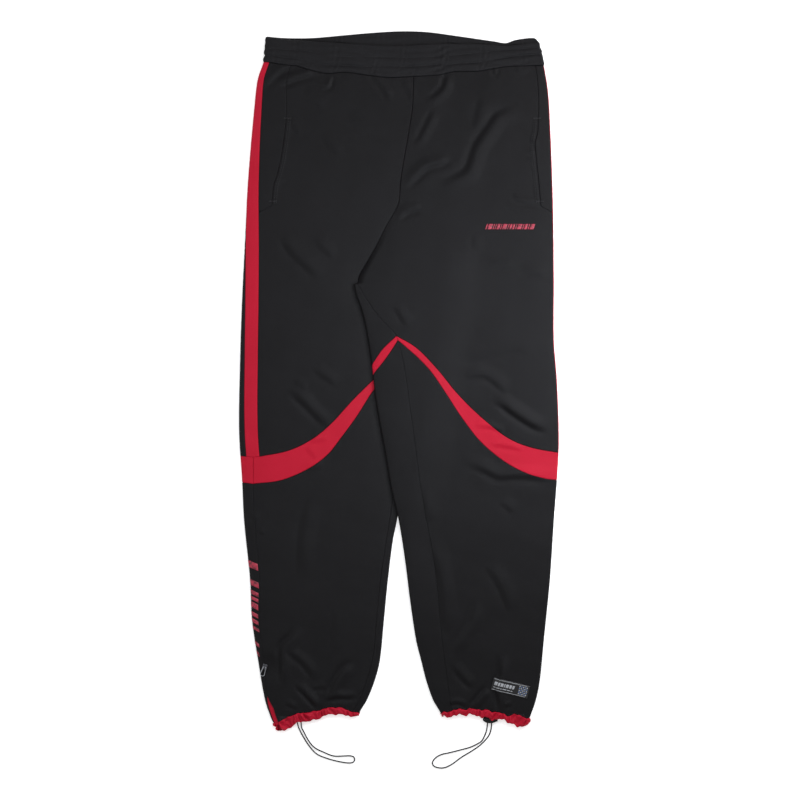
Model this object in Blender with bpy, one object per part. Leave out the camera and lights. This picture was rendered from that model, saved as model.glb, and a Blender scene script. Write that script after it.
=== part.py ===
"""Jogger trousers lying flat, front up: every cut piece of cloth is its own closed wall.

Metres. The trousers lie on z = 0, +Y runs up to the waist, +X is the wearer's left.
Each leg is a flattened tube. A place on its skin is given by y and by s, the distance
round the tube from its outer fold: s is positive on the front and negative on the back.
"""
import math

import bmesh
import bpy
from mathutils import Vector

# Driving dimensions.
WALL = 0.0012
WAISTBAND_WALL = 0.0024
WAISTBAND_PROUD = 0.0006
HEM_WALL = 0.0020
HEM_PROUD = 0.0005
LEG_THICKNESS = 0.0044
WAIST_EXTRA_THICKNESS = 0.0010
HEM_EXTRA_THICKNESS = 0.0012
SEAM_MARGIN = 0.0002
SLANT_MARGIN = 0.0003
STRIPE_MARGIN = 0.0004
WAISTBAND_CLEARANCE = 0.0006
LAYER_GAP = 0.0010
RAMP_START = 0.014
RAMP_WIDTH = 0.026
FRONT_RAMP_HEIGHT = 0.110
BACK_RAMP_HEIGHT = 0.040
LEAST_WRAP = 0.012
CROTCH_Y = 0.1437
NARROWEST_COLUMN = 0.001
SIDE_ZONE = 0.042
STRIPE_WIDTH = 0.0195
POCKET_FOOT_Y = 0.258
POCKET_FOOT_TURN = 0.010
ZIP_TOP_RISE = 0.043
ZIP_FULL_RISE = 0.021
ZIP_FACING_RISE = 0.038
ZIP_OPEN_WIDTH = 0.0075
ZIP_FACING_DEPTH = 0.0003

# Trunk and leg outlines: (y, x) where each fold runs.
RIGHT_OUTER = (
    (-0.5150, -0.1765), (-0.4972, -0.1867), (-0.4678, -0.1970), (-0.4090, -0.2073),
    (-0.3502, -0.2161), (-0.2914, -0.2190), (-0.2032, -0.2279), (-0.1444, -0.2308),
    (-0.0709, -0.2352), (0.0320, -0.2337), (0.1202, -0.2308), (0.2084, -0.2264),
    (0.2966, -0.2220), (0.4142, -0.2117), (0.4465, -0.2073), (0.4729, -0.1985),
    (0.5082, -0.1955),
)
LEFT_OUTER = (
    (-0.5100, 0.1865), (-0.4972, 0.1911), (-0.4678, 0.2014), (-0.4384, 0.2073),
    (-0.3796, 0.2132), (-0.2914, 0.2220), (-0.2032, 0.2279), (-0.1444, 0.2323),
    (-0.0856, 0.2352), (0.0026, 0.2323), (0.0614, 0.2279), (0.1496, 0.2279),
    (0.2671, 0.2264), (0.3847, 0.2220), (0.4288, 0.2190), (0.4641, 0.2132),
    (0.4994, 0.2058),
)
RIGHT_INNER = (
    (-0.5150, -0.0640), (-0.4855, -0.0573), (-0.4678, -0.0470), (-0.4384, -0.0353),
    (-0.4090, -0.0279), (-0.3502, -0.0220), (-0.2914, -0.0162), (-0.2326, -0.0088),
    (-0.2032, -0.0029), (-0.1200, 0.0108), (0.1437, 0.0559),
)
LEFT_INNER = (
    (-0.5100, 0.0680), (-0.4884, 0.0617), (-0.4678, 0.0500), (-0.4384, 0.0397),
    (-0.4090, 0.0323), (-0.3796, 0.0250), (-0.3208, 0.0162), (-0.2620, 0.0088),
    (-0.2032, -0.0005), (-0.1613, -0.0103), (-0.1062, -0.0198), (-0.0533, -0.0294),
    (-0.0165, -0.0353), (0.0246, -0.0397), (0.0834, -0.0492), (0.1084, -0.0559),
    (0.1290, -0.0632), (0.1437, -0.0660),
)
# Seams on the front: (y, x).
FRONT_RISE = (
    (0.1437, -0.0610), (0.1570, -0.0575), (0.1790, -0.0450), (0.2040, -0.0310),
    (0.2290, -0.0185), (0.2500, -0.0060), (0.2645, 0.0000), (0.2900, 0.0020),
    (0.3190, 0.0060), (0.3670, 0.0145), (0.4140, 0.0205), (0.5200, 0.0215),
)
BACK_RISE = ((0.1437, 0.0537), (0.2000, 0.0350), (0.2600, 0.0080), (0.3300, 0.0), (0.5200, 0.0))
LEFT_INSEAM = (
    (-0.5100, 0.0810), (-0.4600, 0.0740), (-0.3649, 0.0617), (-0.2973, 0.0559),
    (-0.2473, 0.0485), (-0.1577, 0.0323), (-0.0474, 0.0176), (0.0643, -0.0029),
    (0.1000, -0.0330), (0.1437, -0.0610),
)
RIGHT_INSEAM = (
    (-0.5150, -0.0720), (-0.4855, -0.0680), (-0.4678, -0.0580), (-0.4090, -0.0390),
    (-0.3502, -0.0330), (-0.2914, -0.0272), (-0.2032, -0.0139), (-0.1200, -0.0010),
    (-0.0268, 0.0152), (0.0600, 0.0300), (0.0950, 0.0150), (0.1200, -0.0200),
    (0.1437, -0.0610),
)
# Side pieces: (y, s).
RIGHT_SIDE_SEAM = (
    (-0.5150, 0.0010), (-0.4900, 0.0030), (-0.4190, 0.0090), (-0.3500, 0.0120),
    (-0.2770, 0.0160), (-0.1500, 0.0176), (-0.1100, 0.0200), (0.1200, 0.0200),
)
LEFT_SIDE_SEAM = ((-0.5150, -0.0080), (0.5200, -0.0080))
RIGHT_STRIPE_CENTRE = (
    (-0.1200, 0.0200), (-0.0268, 0.0187), (0.1200, 0.0160), (0.2671, 0.0090),
    (0.3800, 0.0035), (0.4800, 0.0000),
)
LEFT_STRIPE_CENTRE = ((-0.1200, -0.0080), (0.4800, -0.0080))
RIGHT_POCKET_MOUTH = (
    (0.2450, 0.0370), (0.2650, 0.0390), (0.2878, 0.0400), (0.3040, 0.0440),
    (0.3300, 0.0480), (0.3877, 0.0500), (0.4500, 0.0440),
)
LEFT_POCKET_MOUTH = (
    (0.2450, 0.0190), (0.2811, 0.0210), (0.3318, 0.0245), (0.3495, 0.0250),
    (0.3707, 0.0200), (0.4500, 0.0150),
)
# Seams that cross the tube, as heights along the share of the way from inseam to side.
LEFT_BAND_TOP = (
    (0.0, 0.0670), (0.10, 0.0496), (0.204, 0.0187), (0.316, -0.0180), (0.459, -0.0533),
    (0.608, -0.0812), (0.758, -0.0959), (0.962, -0.1047), (1.0, -0.1060),
)
LEFT_BAND_FOOT = (
    (0.0, 0.0610), (0.148, 0.0202), (0.236, -0.0143), (0.329, -0.0533), (0.431, -0.0865),
    (0.574, -0.1144), (0.724, -0.1327), (0.875, -0.1424), (1.0, -0.1450),
)
RIGHT_BAND_TOP = (
    (0.0, 0.0620), (0.10, 0.0440), (0.245, 0.0040), (0.374, -0.0312), (0.478, -0.0606),
    (0.589, -0.0827), (0.744, -0.1003), (0.932, -0.1091), (1.0, -0.1110),
)
RIGHT_BAND_FOOT = (
    (0.0, 0.0560), (0.148, 0.0130), (0.233, -0.0107), (0.321, -0.0503), (0.411, -0.0827),
    (0.488, -0.1062), (0.617, -0.1275), (0.802, -0.1444), (1.0, -0.1500),
)
BACK_BAND_TOP = (
    (0.0, 0.0670), (0.087, 0.0467), (0.152, 0.0246), (0.25, -0.0010), (0.38, -0.0370),
    (0.54, -0.0670), (0.70, -0.0890), (0.85, -0.1010), (1.0, -0.1060),
)
BACK_BAND_FOOT = (
    (0.0, 0.0610), (0.097, 0.0283), (0.144, 0.0136), (0.236, -0.0180), (0.33, -0.0560),
    (0.43, -0.0880), (0.575, -0.1170), (0.725, -0.1350), (1.0, -0.1450),
)
RIGHT_BACK_BAND_DROP = 0.005
# Waistband and hem edges: (x, y).
FRONT_WAIST_SEAM = (
    (-0.2100, 0.4710), (-0.1890, 0.4690), (-0.1676, 0.4655), (-0.1500, 0.4640),
    (-0.1357, 0.4593), (-0.1054, 0.4530), (-0.0795, 0.4547), (-0.0447, 0.4502),
    (-0.0143, 0.4470), (0.0120, 0.4480), (0.0592, 0.4509), (0.0820, 0.4556),
    (0.1138, 0.4560), (0.1382, 0.4597), (0.1610, 0.4631), (0.2150, 0.4650),
)
FRONT_WAIST_TOP = (
    (-0.2000, 0.5060), (-0.1600, 0.5020), (-0.1000, 0.4980), (-0.0400, 0.4940),
    (0.0000, 0.4930), (0.0600, 0.4960), (0.1200, 0.4955), (0.1573, 0.4930),
    (0.2058, 0.4980),
)
BACK_WAIST_SEAM = ((-0.2100, 0.4710), (-0.1500, 0.4670), (0.0000, 0.4645), (0.2150, 0.4650))
BACK_WAIST_TOP = (
    (-0.2000, 0.5080), (-0.1690, 0.5053), (-0.1279, 0.5053), (-0.0853, 0.5089),
    (-0.0426, 0.5127), (0.0015, 0.5152), (0.0412, 0.5141), (0.0809, 0.5089),
    (0.1397, 0.5004), (0.1573, 0.4979), (0.1705, 0.5023), (0.1985, 0.5053),
    (0.2058, 0.5000),
)
LEFT_HEM_SEAM = (
    (0.0610, -0.4875), (0.0850, -0.4815), (0.1150, -0.4810), (0.1430, -0.4850),
    (0.1600, -0.4900), (0.1740, -0.4890), (0.1920, -0.4960),
)
LEFT_HEM_EDGE = (
    (0.0610, -0.4935), (0.0990, -0.4890), (0.1220, -0.4920), (0.1480, -0.4960),
    (0.1620, -0.5000), (0.1730, -0.5070), (0.1900, -0.5030),
)
RIGHT_HEM_SEAM = (
    (-0.1790, -0.5010), (-0.1545, -0.4890), (-0.1235, -0.4840), (-0.1040, -0.4790),
    (-0.0867, -0.4785), (-0.0706, -0.4840), (-0.0590, -0.4870),
)
RIGHT_HEM_EDGE = (
    (-0.1790, -0.5130), (-0.1661, -0.5120), (-0.1500, -0.5015), (-0.1220, -0.4965),
    (-0.1073, -0.4900), (-0.0911, -0.4885), (-0.0690, -0.4915), (-0.0590, -0.4920),
)

# The largest folds of the front layer: height, half width and route (x, y).
LEFT_FOLDS = (
    (0.0030, 0.020, ((0.1705, 0.4083), (0.1147, 0.3554), (0.0956, 0.3157), (0.0279, 0.2716))),
    (0.0022, 0.022, ((0.1367, -0.0327), (0.1617, -0.0489), (0.2100, -0.0760))),
    (0.0018, 0.020, ((0.0926, -0.1341), (0.1455, -0.1429), (0.2150, -0.1520))),
)
RIGHT_FOLDS = (
    (0.0020, 0.024, ((-0.1735, 0.2040), (-0.1235, 0.1540))),
    (0.0024, 0.022, ((-0.1573, -0.0312), (-0.1176, -0.0621))),
    (0.0024, 0.020, ((-0.1573, -0.3560), (-0.1705, -0.3840), (-0.1700, -0.4380))),
)

# Label, zip and cord fittings.
LABEL_CENTRE = (0.1638, -0.4497)
LABEL_SIZE = (0.0548, 0.0188)
LABEL_TURN = math.radians(-13.7)
LABEL_THICKNESS = 0.0008
LABEL_GAP = 0.0006
PIVOT_XY = (-0.1971, -0.4188)
ZIP_TURN = math.radians(-18.0)
SLIDER_SIZE = (0.0068, 0.0078, 0.0016)
SLIDER_GAP = 0.0003
SLIDER_BEVEL = 0.0005
PIVOT_GAP = 0.0004
BAIL_HALF_WIDTH = 0.0009
BAIL_WALL = 0.0006
BAIL_ROOT = 0.0003
PULLER_WIRE = 0.0006
PULLER_RING_RADIUS = 0.0031
PULLER_RING_DISTANCE = 0.0108
PULLER_REST_TILT = math.radians(4.0)
LOCK_CENTRE = (0.1335, -0.5005)
LOCK_SIZE = (0.0220, 0.0110, 0.0080)
LOCK_TURN = math.radians(-3.0)
CORD_RADIUS = 0.0009
CORD_POINT_SPACING = 0.0045

# Each cord leaves the hem, lies in one loop on the surface and goes back in: (x, y, z).
LEFT_CORD_ROUTE = (
    (0.1298, -0.5064, 0.0030), (0.1284, -0.5146, 0.0013), (0.1226, -0.5272, 0.0010),
    (0.1158, -0.5324, 0.0010), (0.1044, -0.5378, 0.0010), (0.0917, -0.5413, 0.0010),
    (0.0748, -0.5456, 0.0010), (0.0622, -0.5485, 0.0010), (0.0537, -0.5534, 0.0010),
    (0.0492, -0.5604, 0.0010), (0.0520, -0.5658, 0.0010), (0.0607, -0.5682, 0.0010),
    (0.0690, -0.5671, 0.0010), (0.0789, -0.5620, 0.0010), (0.0917, -0.5525, 0.0010),
    (0.1062, -0.5437, 0.0010), (0.1197, -0.5343, 0.0010), (0.1301, -0.5235, 0.0010),
    (0.1345, -0.5150, 0.0013), (0.1366, -0.5066, 0.0030),
)
RIGHT_CORD_ROUTE = (
    (-0.1490, -0.5030, 0.0030), (-0.1470, -0.5100, 0.0016), (-0.1419, -0.5203, 0.0010),
    (-0.1323, -0.5355, 0.0010), (-0.1208, -0.5477, 0.0010), (-0.1044, -0.5546, 0.0010),
    (-0.0900, -0.5584, 0.0010), (-0.0790, -0.5604, 0.0010), (-0.0742, -0.5608, 0.0010),
    (-0.0702, -0.5606, 0.0010), (-0.0667, -0.5591, 0.0010), (-0.0652, -0.5556, 0.0010),
    (-0.0667, -0.5521, 0.0010), (-0.0702, -0.5506, 0.0010), (-0.0742, -0.5503, 0.0010),
    (-0.0800, -0.5505, 0.0010), (-0.0956, -0.5506, 0.0010), (-0.1095, -0.5456, 0.0010),
    (-0.1245, -0.5380, 0.0010), (-0.1335, -0.5272, 0.0010), (-0.1400, -0.5150, 0.0012),
    (-0.1432, -0.5085, 0.0018), (-0.1438, -0.5010, 0.0030),
)

BLACK_KNIT = (0.015, 0.015, 0.017, 1.0)
RED_KNIT = (0.45, 0.012, 0.030, 1.0)


def clamp(value, low, high):
    return max(low, min(high, value))


def smoothstep(value):
    t = clamp(value, 0.0, 1.0)
    return t * t * (3.0 - 2.0 * t)


def smooth_curve(points):
    """A function through a few (input, output) points, with no corner at any of them."""
    ins = [p[0] for p in points]
    outs = [p[1] for p in points]
    last = len(points) - 1
    slopes = []
    for i in range(len(points)):
        before = max(i - 1, 0)
        after = min(i + 1, last)
        slopes.append((outs[after] - outs[before]) / (ins[after] - ins[before]))

    def value(at):
        if at <= ins[0]:
            return outs[0]
        if at >= ins[last]:
            return outs[last]
        i = max(k for k in range(last) if ins[k] <= at)
        step = ins[i + 1] - ins[i]
        t = (at - ins[i]) / step
        from_start = (1 + 2 * t) * (1 - t) ** 2 * outs[i] + t * (1 - t) ** 2 * step * slopes[i]
        from_end = t * t * (3 - 2 * t) * outs[i + 1] - t * t * (1 - t) * step * slopes[i + 1]
        return from_start + from_end

    return value


class Leg:
    """One leg and its half of the trunk: outlines, seams and folds as functions of y."""

    def __init__(self, name, sign, outer, inner, inseam, side_seam, stripe, mouth, bands, hem, folds):
        self.name = name
        self.sign = sign
        self.outer = smooth_curve(outer)
        self.inner_below_crotch = smooth_curve(inner)
        self.inseam_x = smooth_curve(inseam)
        self.side_seam = smooth_curve(side_seam)
        self.stripe_centre = smooth_curve(stripe)
        self.pocket_mouth = smooth_curve(mouth)
        self.band_top = smooth_curve(bands[0])
        self.band_foot = smooth_curve(bands[1])
        self.back_band_drop = bands[2]
        self.hem_seam, self.hem_edge = (smooth_curve(points) for points in hem)
        self.folds = folds
        self.other = None

    def inner(self, y):
        """Below the crotch the inner fold, and above it the other side of the trunk."""
        return self.inner_below_crotch(y) if y <= CROTCH_Y else self.other.outer(y)


def body_thickness(y):
    near_waist = smoothstep((y - 0.38) / 0.07)
    near_hem = smoothstep((-0.42 - y) / 0.06)
    return LEG_THICKNESS + WAIST_EXTRA_THICKNESS * near_waist + HEM_EXTRA_THICKNESS * near_hem


def fold_length(y):
    """Half of the rounded edge: the distance s from the outermost line to a flat layer."""
    return math.pi * body_thickness(y) / 4


def flat_width(leg, y):
    return abs(leg.outer(y) - leg.inner(y)) - body_thickness(y)


def perimeter(leg, y):
    return 2 * flat_width(leg, y) + 4 * fold_length(y)


def s_at_x(leg, x, y):
    """The distance s of a place on a flat layer."""
    return abs(leg.outer(y) - x) - body_thickness(y) / 2 + fold_length(y)


def distance_to_route(x, y, route):
    nearest = 1.0
    for (ax, ay), (bx, by) in zip(route, route[1:]):
        length_squared = (bx - ax) ** 2 + (by - ay) ** 2
        t = clamp(((x - ax) * (bx - ax) + (y - ay) * (by - ay)) / length_squared, 0.0, 1.0)
        nearest = min(nearest, math.hypot(x - ax - t * (bx - ax), y - ay - t * (by - ay)))
    return nearest


def fold_height(leg, x, y):
    """How far the soft folds raise the front layer."""
    total = 0.0
    for height, half_width, route in leg.folds:
        total += height * (1 - smoothstep(distance_to_route(x, y, route) / half_width))
    return total


def lift(leg, x, y, on_front):
    """How far the left leg is raised where it lies on the right thigh."""
    if leg.sign < 0:
        return 0.0
    thigh_edge = RIGHT.inner_below_crotch(min(y, CROTCH_Y))
    across = 1 - smoothstep((x - thigh_edge - RAMP_START) / RAMP_WIDTH)
    fade = FRONT_RAMP_HEIGHT if on_front else BACK_RAMP_HEIGHT
    along = 1 - smoothstep((y - CROTCH_Y) / fade)
    return (body_thickness(y) + LAYER_GAP) * across * along


def skin(leg, s, y, depth, proud=0.0):
    """The place at distance s round the tube, at a depth under its outer face."""
    quarter = fold_length(y)
    flat = flat_width(leg, y)
    round_the_tube = perimeter(leg, y)
    s = (s + round_the_tube / 2) % round_the_tube - round_the_tube / 2
    side = 1.0 if s >= 0 else -1.0
    run = abs(s)
    bend = body_thickness(y) / 2 + proud
    radius = bend - depth
    if run < quarter:
        angle = run / quarter * math.pi / 2
        inset = bend - radius * math.cos(angle)
        rise = side * math.sin(angle)
    elif run < quarter + flat:
        inset = bend + run - quarter
        rise = side
    else:
        angle = (run - quarter - flat) / quarter * math.pi / 2
        inset = bend + flat + radius * math.sin(angle)
        rise = side * math.cos(angle)
    x = leg.outer(y) + leg.sign * (proud - inset)
    front_share = (1 + rise) / 2
    height = bend + radius * rise + front_share * fold_height(leg, x, y)
    return Vector((x, y, height + lift(leg, x, y, rise > 0)))


def front_top(leg, x, y):
    """Height of the front layer's outer face on its flat run."""
    return body_thickness(y) + fold_height(leg, x, y) + lift(leg, x, y, True)


def marks_between(start, end, stops, counts):
    """Columns from start to end, passing the stops wherever they lie between the two."""
    turn = 1 if end > start else -1
    marks = [start]
    for i, stop in enumerate(stops):
        low = turn * marks[-1] + NARROWEST_COLUMN
        high = turn * end - NARROWEST_COLUMN * (len(stops) - i)
        marks.append(turn * max(low, min(turn * stop, high)))
    marks.append(end)
    columns = []
    for a, b, count in zip(marks, marks[1:], counts):
        columns += [a + (b - a) * k / count for k in range(count)]
    return columns + [end]


# Columns of each piece, as distances s at a height y.


def inseam_s(leg, y):
    if y > CROTCH_Y:
        return s_at_x(leg, FRONT_RISE_AT(y), y)
    return s_at_x(leg, leg.inseam_x(y), y)


def front_columns(start_of):
    def columns(leg, y):
        stops = (fold_length(y), SIDE_ZONE)
        start = start_of(leg, y) + SEAM_MARGIN
        return marks_between(start, inseam_s(leg, y) - SEAM_MARGIN, stops, (1, 2, 8))
    return columns


def split_s(leg, y):
    """Where the seat ends at the back rise, and below the crotch the wrap begins."""
    if y > CROTCH_Y:
        return SEAM_MARGIN - s_at_x(leg, BACK_RISE_AT(y), y)
    if leg.sign < 0:
        return -(fold_length(y) + flat_width(leg, y))
    past_the_thigh = RIGHT.inner(y) + RAMP_START
    return -s_at_x(leg, max(past_the_thigh, leg.inner(y) + LEAST_WRAP), y)


def back_columns(start_of):
    def columns(leg, y):
        quarter = fold_length(y)
        flat = flat_width(leg, y)
        end = inseam_s(leg, y) - perimeter(leg, y)
        split = split_s(leg, y)
        stops = (quarter, -quarter, -SIDE_ZONE, split, -(quarter + flat), -(3 * quarter + flat))
        start = start_of(leg, y) - STRIPE_MARGIN
        return marks_between(start, end + SEAM_MARGIN, stops, BACK_COUNTS)
    return columns


def stripe_front_s(leg, y):
    return leg.stripe_centre(y) + STRIPE_WIDTH / 2


def stripe_back_s(leg, y):
    return leg.stripe_centre(y) - STRIPE_WIDTH / 2


def front_upper_start(leg, y):
    """The stripe's seam, and above the pocket's foot its mouth."""
    seam = stripe_front_s(leg, y)
    share = clamp((y - POCKET_FOOT_Y + POCKET_FOOT_TURN) / POCKET_FOOT_TURN, 0.0, 1.0)
    return seam + (leg.pocket_mouth(y) - seam) * share


def side_seam_s(leg, y):
    return leg.side_seam(y)


def zip_opening(leg, y):
    """Width of the open zip in the right side seam, from nothing at its top."""
    if leg.sign > 0:
        return 0.0
    above_hem = y - leg.hem_seam(leg.outer(y))
    share = (ZIP_TOP_RISE - above_hem) / (ZIP_TOP_RISE - ZIP_FULL_RISE)
    return ZIP_OPEN_WIDTH * clamp(share, 0.0, 1.0)


def lower_front_start(leg, y):
    return leg.side_seam(y) + zip_opening(leg, y)


def stripe_columns(leg, y):
    start = stripe_front_s(leg, y) - SEAM_MARGIN
    end = stripe_back_s(leg, y) + STRIPE_MARGIN
    return marks_between(start, end, (fold_length(y), -fold_length(y)), (2, 3, 2))


def pocket_columns(leg, y):
    start = stripe_front_s(leg, y) + SEAM_MARGIN
    end = front_upper_start(leg, y) - SEAM_MARGIN
    return [start + (end - start) * k / 2 for k in range(3)]


def zip_columns(leg, y):
    start = leg.side_seam(y) + SEAM_MARGIN
    end = leg.side_seam(y) + zip_opening(leg, y) - SEAM_MARGIN
    return [start, (start + end) / 2, end]


def hem_columns(leg, y):
    """The binding runs all round the leg, from one side of the side seam to the other."""
    front = front_columns(lower_front_start)(leg, y)
    back = back_columns(side_seam_s)(leg, y)
    around = perimeter(leg, y)
    return front[:-1] + [inseam_s(leg, y)] + [around + s for s in reversed(back[:-1])]


def solve_height(level, leg, s_of, guess):
    """The height where a column meets a seam, and how far to keep off it where it slants."""
    y = guess
    for _ in range(14):
        y = level(leg, s_of(y), y)
    step = 0.001
    slope = (level(leg, s_of(y) + step, y) - level(leg, s_of(y) - step, y)) / (2 * step)
    return y, SLANT_MARGIN * math.hypot(1.0, slope)


def cloth_wall(name, columns, levels, rows, walls, cells=None):
    """A closed wall of cloth over a grid of columns and rows.

    columns(y) lists (leg, s) pairs, levels are the heights that the rows run between, rows is
    the number of rows in each stretch, and walls is (outer depth, inner depth, proud).
    """
    outer_depth, inner_depth, proud = walls
    count = len(columns(CROTCH_Y))
    last_level = len(levels) - 1
    outer = []
    inner = []
    for i in range(count):
        def s_of(y, i=i):
            return columns(y)[i][1]
        leg = columns(CROTCH_Y)[i][0]
        heights = []
        for k, (level, guess) in enumerate(levels):
            y, margin = solve_height(level, leg, s_of, guess)
            keep_off = margin if k == 0 else -margin if k == last_level else 0.0
            heights.append(y + keep_off)
        ys = []
        for a, b, n in zip(heights, heights[1:], rows):
            ys += [a + (b - a) * k / n for k in range(n)]
        ys.append(heights[-1])
        outer.append([skin(leg, s_of(y), y, outer_depth, proud) for y in ys])
        inner.append([skin(leg, s_of(y), y, inner_depth, proud) for y in ys])
    return wall_mesh(name, outer, inner, cells)


def wall_mesh(name, outer, inner, cells=None):
    """Joins two grids of points of the same size into one closed wall."""
    columns = len(outer)
    rows = len(outer[0])
    kept = [
        (i, j) for i in range(columns - 1) for j in range(rows - 1)
        if cells is None or cells(i, j)
    ]
    mesh = bmesh.new()
    corners = {}

    def corner(face, i, j):
        key = (face, i, j)
        if key not in corners:
            corners[key] = mesh.verts.new((outer, inner)[face][i][j])
        return corners[key]

    edges = {}
    for i, j in kept:
        ring = ((i, j), (i + 1, j), (i + 1, j + 1), (i, j + 1))
        mesh.faces.new([corner(0, *c) for c in ring])
        mesh.faces.new([corner(1, *c) for c in reversed(ring)])
        for a, b in zip(ring, ring[1:] + ring[:1]):
            edges[(a, b)] = True
    for a, b in edges:
        if (b, a) not in edges:
            mesh.faces.new([corner(0, *b), corner(0, *a), corner(1, *a), corner(1, *b)])
    if mesh.calc_volume(signed=True) < 0:
        bmesh.ops.reverse_faces(mesh, faces=mesh.faces[:])
    return link_mesh(name, mesh)


def link_mesh(name, mesh):
    data = bpy.data.meshes.new(name)
    mesh.to_mesh(data)
    mesh.free()
    data.shade_smooth()
    data.set_sharp_from_angle(angle=math.radians(40))
    obj = bpy.data.objects.new(name, data)
    bpy.context.scene.collection.objects.link(obj)
    return obj


def finish_material(obj, colour, roughness, metallic=0.0):
    material = bpy.data.materials.new(obj.name)
    material.use_nodes = True
    shader = material.node_tree.nodes["Principled BSDF"]
    shader.inputs["Base Color"].default_value = colour
    shader.inputs["Roughness"].default_value = roughness
    shader.inputs["Metallic"].default_value = metallic
    obj.data.materials.append(material)


def on_one_leg(leg, columns):
    return lambda y: [(leg, s) for s in columns(leg, y)]


FRONT_RISE_AT = smooth_curve(FRONT_RISE)
BACK_RISE_AT = smooth_curve(BACK_RISE)
# Columns of a back panel: to the side fold, round it, the side, the seat, the wrap.
BACK_COUNTS = (1, 3, 2, 5, 1, 3, 2)
SPLIT_COLUMN = sum(BACK_COUNTS[:4])

RIGHT = Leg(
    "right", -1, RIGHT_OUTER, RIGHT_INNER, RIGHT_INSEAM, RIGHT_SIDE_SEAM, RIGHT_STRIPE_CENTRE,
    RIGHT_POCKET_MOUTH, (RIGHT_BAND_TOP, RIGHT_BAND_FOOT, RIGHT_BACK_BAND_DROP),
    (RIGHT_HEM_SEAM, RIGHT_HEM_EDGE), RIGHT_FOLDS,
)
LEFT = Leg(
    "left", 1, LEFT_OUTER, LEFT_INNER, LEFT_INSEAM, LEFT_SIDE_SEAM, LEFT_STRIPE_CENTRE,
    LEFT_POCKET_MOUTH, (LEFT_BAND_TOP, LEFT_BAND_FOOT, 0.0),
    (LEFT_HEM_SEAM, LEFT_HEM_EDGE), LEFT_FOLDS,
)
RIGHT.other = LEFT
LEFT.other = RIGHT

CLOTH = (0.0, WALL, 0.0)
UPPER_ROWS = (5, 3, 1, 5)
CROTCH_ROW = UPPER_ROWS[0]
BAND_ROWS = (2,)
LOWER_ROWS = (1, 1, 7)


def waist_level(front_points, back_points, rise=0.0):
    """A waist edge with its own line on each layer, which meet round the side folds."""
    front_curve = smooth_curve(front_points)
    back_curve = smooth_curve(back_points)

    def level(leg, s, y):
        x = skin(leg, s, y, 0.0).x
        quarter = fold_length(y)
        on_front = smoothstep((s + quarter) / (2 * quarter))
        return rise + back_curve(x) + (front_curve(x) - back_curve(x)) * on_front
    return level, 0.47


def height_level(height):
    return (lambda leg, s, y: height), height


def band_level(edge, on_front_panel):
    """The top or foot of a knee band, followed from the inseam out to the side seam."""
    def level(leg, s, y):
        inseam = inseam_s(leg, y)
        if on_front_panel:
            share = (inseam - s) / (inseam - leg.side_seam(y))
            return getattr(leg, edge)(share)
        round_the_back = perimeter(leg, y) - inseam
        share = (round_the_back + s) / (round_the_back + leg.side_seam(y))
        return BACK_BAND[edge](share) - leg.back_band_drop
    return level, 0.0


def hem_level(edge, rise=0.0):
    def level(leg, s, y):
        return getattr(leg, edge)(skin(leg, s, y, 0.0).x) + rise
    return level, -0.48


BACK_BAND = {"band_top": smooth_curve(BACK_BAND_TOP), "band_foot": smooth_curve(BACK_BAND_FOOT)}
WAIST_SEAM = waist_level(FRONT_WAIST_SEAM, BACK_WAIST_SEAM)
WAISTBAND_FOOT = waist_level(FRONT_WAIST_SEAM, BACK_WAIST_SEAM, WAISTBAND_CLEARANCE)
WAIST_TOP = waist_level(FRONT_WAIST_TOP, BACK_WAIST_TOP)


def stripe_foot():
    """The stripe ends on the band's front piece, and past the side seam on its back piece."""
    on_front = band_level("band_top", True)[0]
    on_back = band_level("band_top", False)[0]

    def level(leg, s, y):
        return on_front(leg, s, y) if s > leg.side_seam(y) else on_back(leg, s, y)
    return level, 0.0


def upper_levels(foot):
    return [
        foot,
        height_level(CROTCH_Y),
        height_level(POCKET_FOOT_Y - POCKET_FOOT_TURN),
        height_level(POCKET_FOOT_Y),
        WAIST_SEAM,
    ]


def lower_levels(on_front_panel):
    return [
        hem_level("hem_seam"),
        hem_level("hem_seam", ZIP_FULL_RISE),
        hem_level("hem_seam", ZIP_TOP_RISE),
        band_level("band_foot", on_front_panel),
    ]


def front_panels(leg):
    """Thigh, knee band and lower leg of the front, from the side to the inseam."""
    upper = cloth_wall(
        leg.name + "_front_upper", on_one_leg(leg, front_columns(front_upper_start)),
        upper_levels(band_level("band_top", True)), UPPER_ROWS, CLOTH,
    )
    band = cloth_wall(
        leg.name + "_knee_band_front", on_one_leg(leg, front_columns(side_seam_s)),
        [band_level("band_foot", True), band_level("band_top", True)], BAND_ROWS, CLOTH,
    )
    lower = cloth_wall(
        leg.name + "_front_lower", on_one_leg(leg, front_columns(lower_front_start)),
        lower_levels(True), LOWER_ROWS, CLOTH,
    )
    finish_material(upper, BLACK_KNIT, 0.62)
    finish_material(band, RED_KNIT, 0.62)
    finish_material(lower, BLACK_KNIT, 0.62)


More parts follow.
